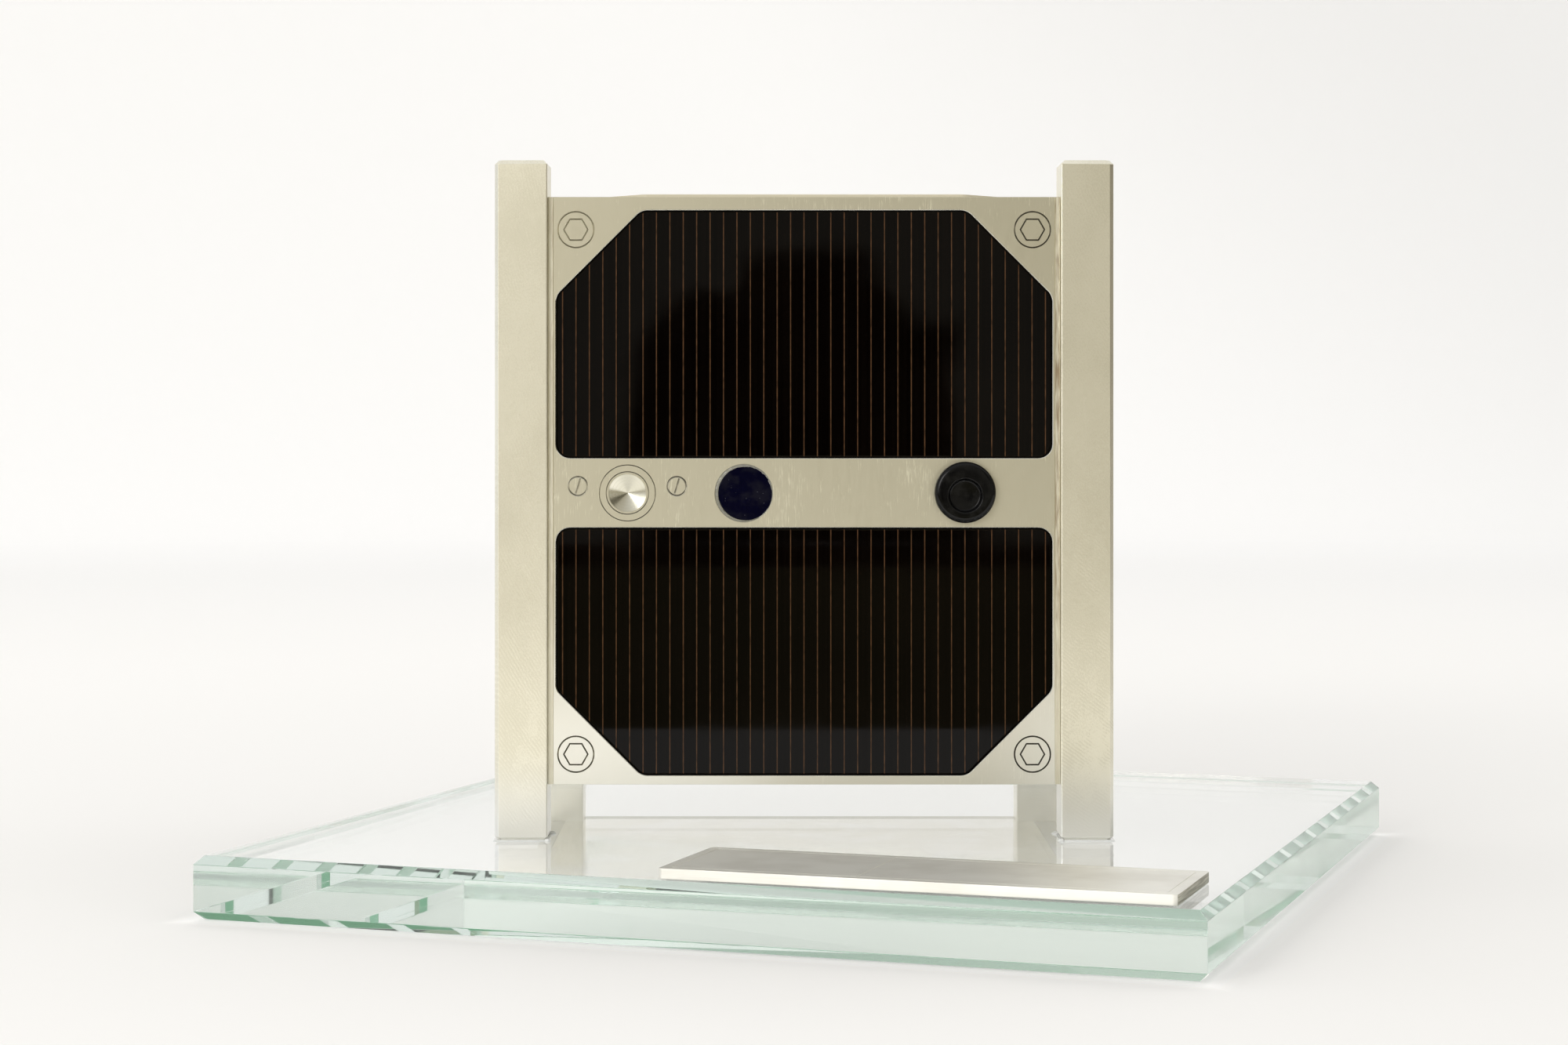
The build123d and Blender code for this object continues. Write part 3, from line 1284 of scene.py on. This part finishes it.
@dataclass
class SidePanels:
    """The four side panels, each with two pockets and its engraved outlines."""

    half_width: float = 41.45
    half_height: float = 47.55
    thick: float = 4.0
    edge_cut: float = 0.2
    step_width: float = 0.85
    step_depth: float = 0.15
    step_cut: float = 0.05
    step_slope: float = 0.02
    cell: CellShape = CellShape()
    cell_gap: float = 0.3
    pocket_depth: float = 0.8
    rim: float = 0.11  # the cut along a pocket's edge
    screw_x: float = 36.95
    screw_heights: Pair = (42.25, -42.65)
    screw_ring: float = 2.9
    screw_hexagon: float = 1.95
    screw_line: Pair = (0.25, 0.13)  # width and depth
    cone: Pair = (-28.6, -0.375)
    cone_radius: float = 3.1
    cone_wall: float = 0.15
    cone_depth: float = 1.3
    cone_facets: Triple = (2.65, 0.27, 0.07)  # widths, from the rim to the tip
    cone_rings: Pair = (3.43, 4.53)
    cone_line: Pair = (0.17, 0.08)
    slot_spacing: float = 16.0
    slot_rise: float = 1.1
    slot_radius: float = 1.525
    slot_line: Pair = (0.3, 0.12)
    slot_length: float = 2.6
    slot_turn: float = 73.0
    hole: Pair = (-9.77, -0.405)
    hole_radius: float = WINDOW_HOLE_RADIUS
    hole_depth: float = 1.1
    lip: float = 0.07  # the fine cut round the cone and the hole
    # painted sheen: the panels are painted paler low down, by the class's own heights
    metal: PaintedSheenMetal = PaintedSheenMetal(
        "panel_aluminium",
        Brush.UPRIGHT,
        clean=(0.88, 0.85, 0.70),
        dull=(0.62, 0.585, 0.46),
        roughness=0.38,
        contrast=1.4,
        mark_depth=0.008,
    )
    engraved: EngravedLine = EngravedLine("engraved_line", Brush.UPRIGHT, roughness=0.26)
    # painted brown shading on the steps beside the rails and on one pocket wall
    brown_shaded: PaintedShadeStep = PaintedShadeStep("stained_step", Brush.UPRIGHT, roughness=0.40)
    bright: MachinedMetal = MachinedMetal(
        "cone_turned",
        Brush.TURNED,
        clean=(0.80, 0.78, 0.69),
        dull=(0.60, 0.58, 0.48),
        roughness=0.22,
        mark_depth=0.008,
        centre=(-35.2, -31.0, 66.175),
    )
    # near-black finish on the pockets' walls and floors, which makes the gap round each cell dark
    near_black: MachinedMetal = MachinedMetal(
        "pocket_adhesive",
        Brush.UPRIGHT,
        clean=(0.018, 0.016, 0.013),
        dull=(0.006, 0.005, 0.004),
        roughness=0.7,
        bare=0.0,
        gloss=0.06,
    )

    def build(self) -> None:
        """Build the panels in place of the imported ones."""
        finishes = (self.metal, self.engraved, self.brown_shaded, self.bright, self.near_black)
        metal, *more = (finish.build() for finish in finishes)
        for side, turn in SIDES:
            mesh = bmesh.new()
            self._add_slab(mesh)
            for upper in (True, False):
                self._add_pocket(mesh, upper)
            for place in product((-self.screw_x, self.screw_x), self.screw_heights):
                self._add_groove(mesh, 64, self.screw_ring, place, self.screw_line)
                self._add_groove(mesh, 6, self.screw_hexagon, place, self.screw_line, whole=True)
            if side == "front":
                self._add_cone(mesh)
                self._add_slots(mesh)
                absorb(mesh, self._pit(self.hole, self.hole_radius, self.hole_depth)[0])
            self._fill_face(mesh)
            put(mesh, on_side(turn))
            name, node = f"side_panel_{side}", f"panel_{side}"
            make_piece(mesh, name, metal, "panel_metal", (node,), more=more)

    def _add_slab(self, mesh: Mesh) -> None:
        """The panel's body, its face left open.

        Args:
            mesh: the panel's mesh.
        """
        step = self.half_width - self.step_width
        section = [
            (-self.half_width, -self.thick),
            (-self.half_width, -self.edge_cut),
            (self.step_cut - self.half_width, -self.step_depth),
            (-step - self.step_slope, -self.step_depth),
            (-step, 0.0),
        ]
        section += [(-x, z) for x, z in reversed(section)]
        low = -self.half_height * MM
        base = mesh.faces.new([mesh.verts.new((x * MM, low, z * MM)) for x, z in section])
        extrude(mesh, [base], (0.0, 2 * self.half_height, 0.0))
        bmesh.ops.recalc_face_normals(mesh, faces=mesh.faces)
        bevel_edges(mesh, self._is_end, self.edge_cut, 1)
        for face in mesh.faces:
            beside = abs(face.calc_center_median().x) > step * MM
            # the steps beside the rails get the painted brown shading
            brown_shaded = beside and face.normal.z > 0.9
            face.material_index = PanelFace.BROWN_SHADED if brown_shaded else PanelFace.PLAIN
        face = max(mesh.faces, key=lambda f: f.normal.z * f.calc_area())
        bmesh.ops.delete(mesh, geom=[face], context="FACES_ONLY")

    def _is_end(self, edge: Edge) -> bool:
        """Whether the edge runs along the face's upper or lower end."""
        half, under = self.half_height * MM, (0.01 - self.edge_cut) * MM
        return all(abs(abs(v.co.y) - half) < SAME and v.co.z > under for v in edge.verts)

    def _add_pocket(self, mesh: Mesh, upper: bool) -> None:
        """A cell's pocket, a fine cut along its edge.

        Args:
            mesh: the panel's mesh.
            upper: whether it is the upper cell's.
        """
        part = self.cell.face(upper, self.cell_gap + self.rim)
        slopes = sink(part, part.faces[0], self.rim, self.rim)
        self._drop(part, self.pocket_depth - self.rim)
        part.normal_update()
        for face in part.faces:
            low = face.calc_center_median().y < self.cell.rise * MM
            # the upper pocket's lower wall gets the painted brown shading, the rest of a pocket
            # the near-black finish
            sill = upper and low and abs(face.normal.y) > 0.9
            face.material_index = PanelFace.BROWN_SHADED if sill else PanelFace.NEAR_BLACK
        for slope in slopes:
            slope.material_index = PanelFace.BRIGHT
        absorb(mesh, part)

    @staticmethod
    def _drop(part: Mesh, depth: float) -> Face:
        """Take the lowest face of a part straight down.

        Args:
            part: the part.
            depth: how far, in millimetres.

        Returns:
            The face, at the bottom of its new walls.
        """
        floor = min(part.faces, key=lambda face: face.calc_center_median().z)
        made = bmesh.ops.extrude_discrete_faces(part, faces=[floor])["faces"][0]
        bmesh.ops.translate(part, vec=(0.0, 0.0, -depth * MM), verts=made.verts)
        return made

    @staticmethod
    def _disc(place: Pair, radius: float, sides: int = 96) -> Mesh:
        """Make a regular level face.

        Args:
            place: its middle on the panel's face.
            radius: from the middle to its corners.
            sides: how many sides it has.

        Returns:
            A mesh with that face.
        """
        part = bmesh.new()
        at = moved(*place, 0.0) @ turned("Z", 90.0)
        bmesh.ops.create_circle(
            part, cap_ends=True, segments=sides, radius=radius * MM, matrix=at
        )
        part.faces.ensure_lookup_table()
        return part

    def _pit(self, place: Pair, radius: float, depth: float) -> tuple[Mesh, Face]:
        """Make a round pit with a fine cut about its rim.

        Args:
            place: its middle on the panel's face.
            radius: its radius at the face.
            depth: how deep it is.

        Returns:
            Its mesh and its floor.
        """
        part = self._disc(place, radius)
        sink(part, part.faces[0], self.lip, self.lip)
        return part, self._drop(part, depth - self.lip)

    def _add_groove(
        self,
        mesh: Mesh,
        sides: int,
        radius: float,
        place: Pair,
        line: Pair,
        whole: bool = False,
    ) -> None:
        """A line of V section round a regular outline.

        Args:
            mesh: the panel's mesh.
            sides: sides of the outline.
            radius: from the middle to the outline's corners.
            place: the outline's middle on the face.
            line: the line's width and depth.
            whole: whether the face within it is left as it is, with nothing cut in it.
        """
        half, depth = line[0] / 2, line[1]
        part = self._disc(place, radius + half / math.cos(math.pi / sides), sides)
        face = part.faces[0]
        for slope in sink(part, face, half, depth) + sink(part, face, half, -depth):
            slope.material_index = PanelFace.ENGRAVED
        if not whole:
            bmesh.ops.delete(part, geom=[face], context="FACES_ONLY")
        absorb(mesh, part)

    def _add_cone(self, mesh: Mesh) -> None:
        """The turned cone in its round pit, with two rings about it.

        Args:
            mesh: the front panel's mesh.
        """
        for radius in self.cone_rings:
            self._add_groove(mesh, 96, radius, self.cone, self.cone_line)
        part, floor = self._pit(self.cone, self.cone_radius, self.cone_wall)
        facets = [floor]
        for width in self.cone_facets:
            drop = width * self.cone_depth / self.cone_radius
            facets += sink(part, floor, width, drop)
        for facet in facets:
            facet.material_index = PanelFace.BRIGHT
        absorb(mesh, part)

    def _add_slots(self, mesh: Mesh) -> None:
        """The outlines of two small slotted screws beside the cone.

        Args:
            mesh: the front panel's mesh.
        """
        width, depth = self.slot_line
        for side in (-self.slot_spacing / 2, self.slot_spacing / 2):
            place = (self.cone[0] + side, self.cone[1] + self.slot_rise)
            self._add_groove(mesh, 48, self.slot_radius, place, self.slot_line)
            part = new_rectangle(self.slot_length, width)
            put(part, moved(*place, 0.0) @ turned("Z", self.slot_turn))
            sink(part, part.faces[0], width * 0.45, depth)
            for facet in part.faces:
                facet.material_index = PanelFace.ENGRAVED
            absorb(mesh, part)

    @staticmethod
    def _fill_face(mesh: Mesh) -> None:
        """Fill the panel's face between its outline and everything cut in it.

        Args:
            mesh: the panel's mesh.
        """
        rims = [edge for edge in mesh.edges if len(edge.link_faces) < 2]
        made = bmesh.ops.triangle_fill(
            mesh, use_beauty=True, use_dissolve=False, edges=rims, normal=(0.0, 0.0, 1.0)
        )["geom"]
        for face in (item for item in made if isinstance(item, Face)):
            face.material_index = PanelFace.PLAIN
        bmesh.ops.recalc_face_normals(mesh, faces=mesh.faces)
        log.info("open edges: %d", sum(len(e.link_faces) != 2 for e in mesh.edges))


@dataclass
class Plates:
    """The top and the bottom plate."""

    top: MachinedMetal = MachinedMetal("top_aluminium", Brush.UPRIGHT, roughness=0.38)
    base: MachinedMetal = MachinedMetal(
        "base_aluminium",
        Brush.UPRIGHT,
        clean=(0.93, 0.92, 0.88),
        roughness=0.08,
        roughness_spread=0.03,
        mark_depth=0.001,
    )

    def build(self) -> None:
        """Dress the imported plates."""
        dress("top_plate", self.top.build())
        dress("bottom_plate", self.base.build())


@dataclass
class CellArray:
    """The solar cells on the four sides and the top."""

    shape: CellShape = CellShape()
    thick: float = 0.7
    sunk: float = 0.1
    edge_cut: float = 0.12
    facing_y: SolarCell = SolarCell("cell_facing_y", across=0, outward=1)
    facing_x: SolarCell = SolarCell("cell_facing_x", across=1, outward=0)
    # the top cells' pale cut edge is a painted reflection
    facing_up: SolarCell = SolarCell(
        "cell_facing_up", across=0, outward=2, edge=(0.66, 0.61, 0.48)
    )

    def build(self) -> None:
        """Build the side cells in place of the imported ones, and dress the top's."""
        facing_y, facing_x = self.facing_y.build(), self.facing_x.build()
        for (side, turn), upper in product(SIDES, (True, False)):
            row = "upper" if upper else "lower"
            material = facing_y if side in ("front", "back") else facing_x
            mesh = self.shape.face(upper)
            put(mesh, moved(0.0, 0.0, -self.sunk))
            extrude(mesh, mesh.faces[:], (0.0, 0.0, -self.thick), keep=True)
            bmesh.ops.recalc_face_normals(mesh, faces=mesh.faces)
            bevel_edges(mesh, self._is_front, self.edge_cut, 1)
            put(mesh, on_side(turn))
            place = f"{side}_{row}"
            make_piece(mesh, f"solar_cell_{place}", material, "cell", (f"cell_{place}",))
        facing_up = self.facing_up.build()
        for row in ("back", "front"):
            dress(f"cell_top_{row}", facing_up)

    def _is_front(self, edge: Edge) -> bool:
        """Whether the edge lies round the cell's face."""
        return all(abs(v.co.z + self.sunk * MM) < SAME for v in edge.verts)


@dataclass
class FrontBand:
    """The dark window, the glue round it and the black cap on the front."""

    face_y: float = -31.0
    steps: int = 96
    window: Pair = (-16.1, 66.15)
    window_radius: float = 4.4
    window_thick: float = 1.0
    window_sunk: float = 0.1
    window_round: float = 0.12
    hole: Pair = (-16.37, 66.02)
    hole_radius: float = WINDOW_HOLE_RADIUS
    glue: tuple[Pair, ...] = (  # its section, from the middle of the gap
        (-0.30, -0.5), (-0.24, -0.14), (0.0, -0.05), (0.24, -0.14), (0.30, -0.5), (-0.30, -0.5)
    )
    glue_root: float = -0.4  # it's even below this height
    glue_waves: tuple[Triple, Triple] = (  # how high and how long, and where they start
        (0.10, 0.55, 0.0),
        (0.12, 3.2, 4.0),
    )
    glue_tilt: float = 0.07  # how much further out it stands at the top
    glue_sunk: float = 0.05
    cap: Pair = (19.4, 66.3)
    cap_radius: float = 4.96
    cap_proud: float = 2.0
    cap_round: float = 0.85
    cap_seam: float = 3.55  # where the rim meets the face about the recess
    recess_radius: float = 2.75
    recess_lip: float = 0.25
    recess_floor: float = 2.48
    recess_depth: float = 0.9
    recess_drop: float = 0.5
    recess_rounds: Pair = (0.14, 0.25)  # at its lip and at its floor
    window_finish: DarkGlass = DarkGlass("window_glass")
    glue_finish: Glue = Glue("window_glue_clear", body=(0.70, 0.69, 0.60))
    cap_finish: BlackRubber = BlackRubber("cap_rubber")

    def build(self) -> None:
        """Build the window, its glue and the cap."""
        self._build_window()
        self._build_window_glue()
        self._build_cap()

    def _face(self, centre: Pair) -> Matrix:
        """A place on the front face, given as X and Z, its own Z pointing out."""
        return moved(centre[0], self.face_y, centre[1]) @ turned("X", 90.0)

    def _build_window(self) -> None:
        """The dark glass disc, its upper edge ground off."""
        mesh = bmesh.new()
        top, radius = -self.window_sunk, self.window_radius
        bottom = top - self.window_thick
        lathe(mesh, [(0.0, bottom), (radius, bottom), (radius, top), (0.0, top)], self.steps)
        bevel_edges(mesh, ring_at(radius, top), self.window_round, 2)
        put(mesh, self._face(self.window))
        make_piece(
            mesh, "window_disc", self.window_finish.build(), "window_glass", ("window",)
        )

    def _build_window_glue(self) -> None:
        """The uneven bead of glue between the disc and its hole."""
        mesh = bmesh.new()
        middle = (self.window_radius + self.hole_radius) / 2 - 0.02
        lathe(mesh, [(middle + out, up) for out, up in self.glue], self.steps * 2)
        for vert in mesh.verts:
            if vert.co.z > self.glue_root * MM:
                rough, patch = (
                    size * noise.noise(vert.co / (length * MM) + Vector((start, 0.0, 0.0)))
                    for size, length, start in self.glue_waves
                )
                high = self.glue_tilt * vert.co.y / (self.window_radius * MM)
                vert.co.z += (rough + patch + high - self.glue_sunk) * MM
        between = tuple((a + b) / 2 for a, b in zip(self.window, self.hole))
        put(mesh, self._face(between))
        make_piece(mesh, "window_glue", self.glue_finish.build(), "glue")

    def _build_cap(self) -> None:
        """The round cap: a rounded rim, and a recess a little below its middle."""
        mesh, recess = bmesh.new(), bmesh.new()
        radius, proud = self.cap_radius, self.cap_proud
        lathe(mesh, [(radius, 0.0), (radius, proud), (self.cap_seam, proud)], self.steps)
        bevel_edges(mesh, ring_at(radius, proud), self.cap_round, 8)

        floor = proud - self.recess_depth
        profile = [
            (self.recess_radius + self.recess_lip, proud),
            (self.recess_radius, proud),
            (self.recess_floor, floor),
            (0.0, floor),
        ]
        lathe(recess, profile, self.steps)
        for ring, width in zip(profile[1:3], self.recess_rounds):
            bevel_edges(recess, ring_at(*ring), width, 4)
        put(recess, moved(0.0, -self.recess_drop, 0.0))
        absorb(mesh, recess)

        lip = [
            edge
            for edge in mesh.edges
            if edge.is_boundary and all(abs(v.co.z - proud * MM) < SAME for v in edge.verts)
        ]
        bmesh.ops.bridge_loops(mesh, edges=lip)
        base = [edge for edge in mesh.edges if edge.is_boundary]
        bmesh.ops.contextual_create(mesh, geom=base)
        bmesh.ops.recalc_face_normals(mesh, faces=mesh.faces)
        put(mesh, self._face(self.cap))
        make_piece(mesh, "cap_button", self.cap_finish.build(), "cap_rubber", ("cap",))


@dataclass
class FootGlue:
    """The clear glue that has crept out round the four feet."""

    reach: float = 41.5  # from the satellite's middle to a rail's inner faces
    rail: float = RAIL_SIDE
    creep: float = 0.2  # how far the thin line of glue shows round a foot
    line_height: float = 0.18
    line_edge: float = 0.93  # its rounded edge starts at this part of its half width
    line_pull: float = 0.055  # how far the edge draws in, as a part of the same
    bead: Triple = (0.85, 0.75, 0.46)  # half of its width, depth and height
    drop: Triple = (0.5, 0.45, 0.4)
    finish: Glue = Glue("foot_glue_clear", body=(0.97, 0.98, 0.97), clear=0.2)

    def build(self) -> None:
        """Build the glue of all four feet as one piece."""
        mesh = bmesh.new()
        for _, x_side, y_side in CORNERS:
            self._add_line(mesh, x_side, y_side)
            inner = (x_side * self.reach, y_side * self.reach)
            outer = (inner[0], y_side * (self.reach + self.rail))
            self._add_bead(mesh, inner, self.bead)
            self._add_bead(mesh, outer, self.drop)
        make_piece(mesh, "foot_glue", self.finish.build(), "glue", ("glue_beads",))

    def _add_line(self, mesh: Mesh, x_side: int, y_side: int) -> None:
        """The thin line of glue round one foot.

        Args:
            mesh: the glue's mesh.
            x_side: side of the middle in X.
            y_side: side of the middle in Y.
        """
        centre = self.reach + self.rail / 2
        over = self.rail + 2 * self.creep
        part = bmesh.ops.create_cube(mesh, size=MM)["verts"]
        bmesh.ops.scale(mesh, vec=(over, over, self.line_height), verts=part)
        edges = list({edge for vert in part for edge in vert.link_edges})
        bmesh.ops.subdivide_edges(mesh, edges=edges, cuts=15, use_grid_fill=True)
        part = [v for v in mesh.verts if v.tag is False]
        upper = [v for v in part if v.co.z > 0.0]
        for vert in upper:
            side = max(abs(vert.co.x), abs(vert.co.y)) / (over / 2 * MM)
            pull = 1.0 - self.line_pull * max(0.0, side - self.line_edge) / (1.0 - self.line_edge)
            vert.co.x *= pull
            vert.co.y *= pull
            at = Vector((vert.co.x + x_side, vert.co.y + y_side, 0.0)) / (1.3 * MM)
            vert.co.z *= 0.75 + 0.5 * noise.noise(at)
        self._settle(mesh, part, (x_side * centre, y_side * centre), self.line_height / 2)

    def _add_bead(self, mesh: Mesh, place: Pair, size: Triple) -> None:
        """A low blob of glue at one foot's corner.

        Args:
            mesh: the glue's mesh.
            place: X and Y from the satellite's middle, in millimetres.
            size: half of its width, depth and height.
        """
        bmesh.ops.create_icosphere(mesh, subdivisions=4, radius=MM)
        part = [v for v in mesh.verts if v.tag is False]
        bmesh.ops.scale(mesh, vec=size, verts=part)
        for vert in part:
            at = vert.co / (0.8 * MM) + Vector((*place, 0.0)) / 6.0
            vert.co *= 1.0 + 0.22 * noise.noise(at)
            vert.co.z = max(vert.co.z, 0.0)
        self._settle(mesh, part, place, 0.0)

    @staticmethod
    def _settle(mesh: Mesh, part: list[Vert], place: Pair, lift: float) -> None:
        """Put a part of the glue where it belongs on the glass.

        Args:
            mesh: the glue's mesh.
            part: the part's vertices.
            place: X and Y from the satellite's middle, in millimetres.
            lift: height above the glass, in millimetres.
        """
        at = Vector((BODY_CENTRE[0] + place[0], BODY_CENTRE[1] + place[1], GLASS_TOP + lift))
        bmesh.ops.translate(mesh, vec=at * MM, verts=part)
        for vert in part:
            vert.tag = True


# --- Studio ---


@dataclass(frozen=True)
class Softbox:
    """A square studio light aimed at the model."""

    name: str
    place: Triple  # metres
    side: float  # metres
    watts: float
    colour: Colour
    in_metal: bool = True  # whether it shows in what is glossy

    def build(self) -> None:
        """Put the light in the scene."""
        light = bpy.data.lights.new(self.name, "AREA")
        light.shape, light.size = "SQUARE", self.side
        light.energy, light.color = self.watts, self.colour
        holder = bpy.data.objects.new(self.name, light)
        bpy.context.scene.collection.objects.link(holder)
        holder.visible_glossy = self.in_metal
        holder.visible_camera = holder.visible_transmission = False
        holder.location = self.place
        aim = Vector((0.0, 0.0, 0.06)) - Vector(self.place)
        holder.rotation_euler = aim.to_track_quat("-Z", "Y").to_euler()


@dataclass(frozen=True)
class Card:
    """A card in the studio that shows only in what is glossy."""

    name: str
    centre: Triple  # metres
    size: Pair  # metres: X and Y, or Z and Y of one that stands
    glow: Colour
    stands: bool = False

    def build(self) -> None:
        """Put the card in its place."""
        material, graph = Graph.of_material(self.name)
        light = graph.add("Emission", {"Color": self.glow, "Strength": 1.0})
        graph.add("OutputMaterial", {"Surface": light.outputs[0]})
        mesh = bmesh.new()
        bmesh.ops.create_grid(mesh, x_segments=1, y_segments=1, size=0.5)
        bmesh.ops.scale(mesh, vec=(*self.size, 1.0), verts=mesh.verts)
        place = Matrix.Translation(self.centre)
        put(mesh, place @ turned("Y", -90.0) if self.stands else place)
        card = make_piece(mesh, self.name, material)
        card.visible_camera = card.visible_diffuse = card.visible_shadow = False
        card.visible_transmission = card.visible_volume_scatter = False


@dataclass
class Studio:
    """The white paper sweep, the room, the lights and the camera."""

    floor_radius: float = 1.4  # metres
    sweep_radius: float = 2.0  # metres
    sweep_height: float = 0.9  # metres
    sweep_round: float = 0.58  # metres
    gap: float = 0.15  # between the paper and the glass, in millimetres
    room_bright: Colour = (0.86, 0.855, 0.845)
    room_front: Colour = (0.54, 0.51, 0.425)
    doorway: Colour = (0.012, 0.007, 0.005)
    dim_turn: float = 28.0  # from straight in front of the model to the room's dim side
    dim_reach: Pair = (62.0, 14.0)  # degrees from there: where it starts and is complete
    doorway_place: Triple = (0.007, -1.0, -0.02)  # its direction, and its half width
    doorway_size: Triple = (0.056, 1.0, 0.078)
    doorway_edge: Pair = (1.38, 1.50)  # from dark to bright, as parts of the size
    doorway_waves: Pair = (28.0, 0.9)  # how fine its uneven edge is, and how uneven
    backdrop: Colour = (0.97, 0.96, 0.945)
    bounces: int = 64  # light goes back and forth many times inside the glass plate
    lights: tuple[Softbox, ...] = (
        Softbox("key_softbox", (-0.62, -0.98, 0.42), 0.50, 3.8, (1.0, 0.98, 0.94)),
        Softbox("top_softbox", (0.0, 0.45, 1.4), 1.2, 3.0, (1.0, 0.99, 0.98), in_metal=False),
    )
    cards: tuple[Card, ...] = (
        Card("table_card", (0.0, -0.1985, 0.0), (0.8, 0.207), (1.38, 1.35, 1.29)),
        Card("carpet_card", (0.0, -0.70, 0.0), (1.8, 0.796), (0.32, 0.285, 0.165)),
        Card("skirting_card", (0.0, -1.24, 0.0), (1.3, 0.28), (0.03, 0.012, 0.008)),
        Card("right_flag", (0.62, 0.075, 0.225), (0.45, 0.65), (0.20, 0.175, 0.135), stands=True),
        Card("cone_flag", (0.43, -0.59, 0.39), (0.35, 0.45), (0.10, 0.09, 0.06), stands=True),
        Card("left_card", (-0.70, 0.075, 0.225), (0.45, 0.65), (0.78, 0.80, 0.84), stands=True),
    )
    camera_place: Triple = (-11.0, -526.8, 79.27)
    lens: float = 70.34
    shift: Pair = (0.0045, -0.0704)

    def build(self) -> None:
        """Build everything round the model."""
        self._build_camera()
        self._build_sweep()
        self._build_room()
        for item in (*self.lights, *self.cards):
            item.build()
        bpy.context.scene.view_settings.view_transform = "Standard"
        cycles = bpy.context.scene.cycles
        cycles.max_bounces = cycles.glossy_bounces = self.bounces
        cycles.transmission_bounces = self.bounces

    def _build_camera(self) -> None:
        """A level camera in front, a little left of the middle."""
        data = bpy.data.cameras.new("camera")
        data.lens, data.sensor_width = self.lens, 36.0
        data.shift_x, data.shift_y = self.shift
        data.clip_start, data.clip_end = 0.01, 20.0
        camera = bpy.data.objects.new("camera", data)
        bpy.context.scene.collection.objects.link(camera)
        camera.location = Vector(self.camera_place) * MM
        camera.rotation_euler = (math.radians(90), 0.0, 0.0)
        bpy.context.scene.camera = camera

    def _build_sweep(self) -> None:
        """The floor and the paper that curves up round it."""
        paper = StudioPaper("studio_paper").build()
        floor = bmesh.new()
        bmesh.ops.create_circle(floor, cap_ends=True, segments=96, radius=self.floor_radius)
        put(floor, moved(0.0, 0.0, -self.gap))
        make_piece(floor, "floor", paper)
        corners = (
            (self.floor_radius, 0.0, 0.0),
            (self.sweep_radius, 0.0, 0.0),
            (self.sweep_radius, 0.0, self.sweep_height),
        )
        for name, start in (("sweep_back", 0.0), ("sweep_front", 180.0)):
            mesh = bmesh.new()
            bmesh.ops.spin(
                mesh,
                geom=draw_line(mesh, corners),
                cent=(0.0, 0.0, 0.0),
                axis=(0.0, 0.0, 1.0),
                angle=math.pi,
                steps=48,
                use_merge=False,
            )
            radius = self.sweep_radius / MM
            bevel_edges(mesh, ring_at(radius, 0.0), self.sweep_round / MM, 12)
            put(mesh, moved(0.0, 0.0, -self.gap) @ turned("Z", start))
            sweep = make_piece(mesh, name, paper)
            sweep.visible_glossy = start == 0.0

    def _build_room(self) -> None:
        """The light of the room: white all round, dimmer behind the camera."""
        world = bpy.data.worlds.new("room")
        world.use_nodes = True
        bpy.context.scene.world = world
        graph = Graph(world.node_tree)
        direction = graph.add("TexCoord").outputs["Generated"]
        dim = math.radians(self.dim_turn)
        toward_dim = (math.sin(dim), -math.cos(dim), 0.1)
        near_dim = graph.add(
            "VectorMath", {0: direction, 1: toward_dim}, operation="DOT_PRODUCT"
        ).outputs["Value"]
        start, end = (math.cos(math.radians(angle)) for angle in self.dim_reach)
        dimmer = graph.ramp(near_dim, start, end)
        room = graph.mix(dimmer, self.room_bright, self.room_front)
        spread = graph.add(
            "Mapping",
            {"Vector": direction, "Location": self.doorway_place, "Scale": self.doorway_size},
            vector_type="TEXTURE",
        ).outputs[0]
        outward = graph.length(spread)
        fine, strong = self.doorway_waves
        wavy = graph.add("VectorMath", {0: direction, "Scale": fine}, operation="SCALE")
        uneven = graph.math("MULTIPLY", graph.noise(wavy.outputs[0], 1.0), strong)
        reach = graph.math("ADD", outward, uneven)
        doorway = graph.ramp(reach, *self.doorway_edge, 1.0, 0.0)
        room = graph.mix(doorway, room, self.doorway)
        seen = graph.add("LightPath").outputs["Is Camera Ray"]
        colour = graph.mix(seen, room, self.backdrop)
        background = graph.add("Background", {"Color": colour, "Strength": 1.0})
        graph.add("OutputWorld", {"Surface": background.outputs[0]})


def main() -> None:
    """Build every sub-assembly in order, then the studio round them."""
    logging.basicConfig(level=logging.INFO, format="%(name)s: %(message)s")
    for assembly in (
        Plinth(),
        Rails(),
        SidePanels(),
        Plates(),
        CellArray(),
        FrontBand(),
        FootGlue(),
        Plaque(),
        Studio(),
    ):
        log.info("building %s", type(assembly).__name__)
        assembly.build()


if __name__ == "__main__":
    main()
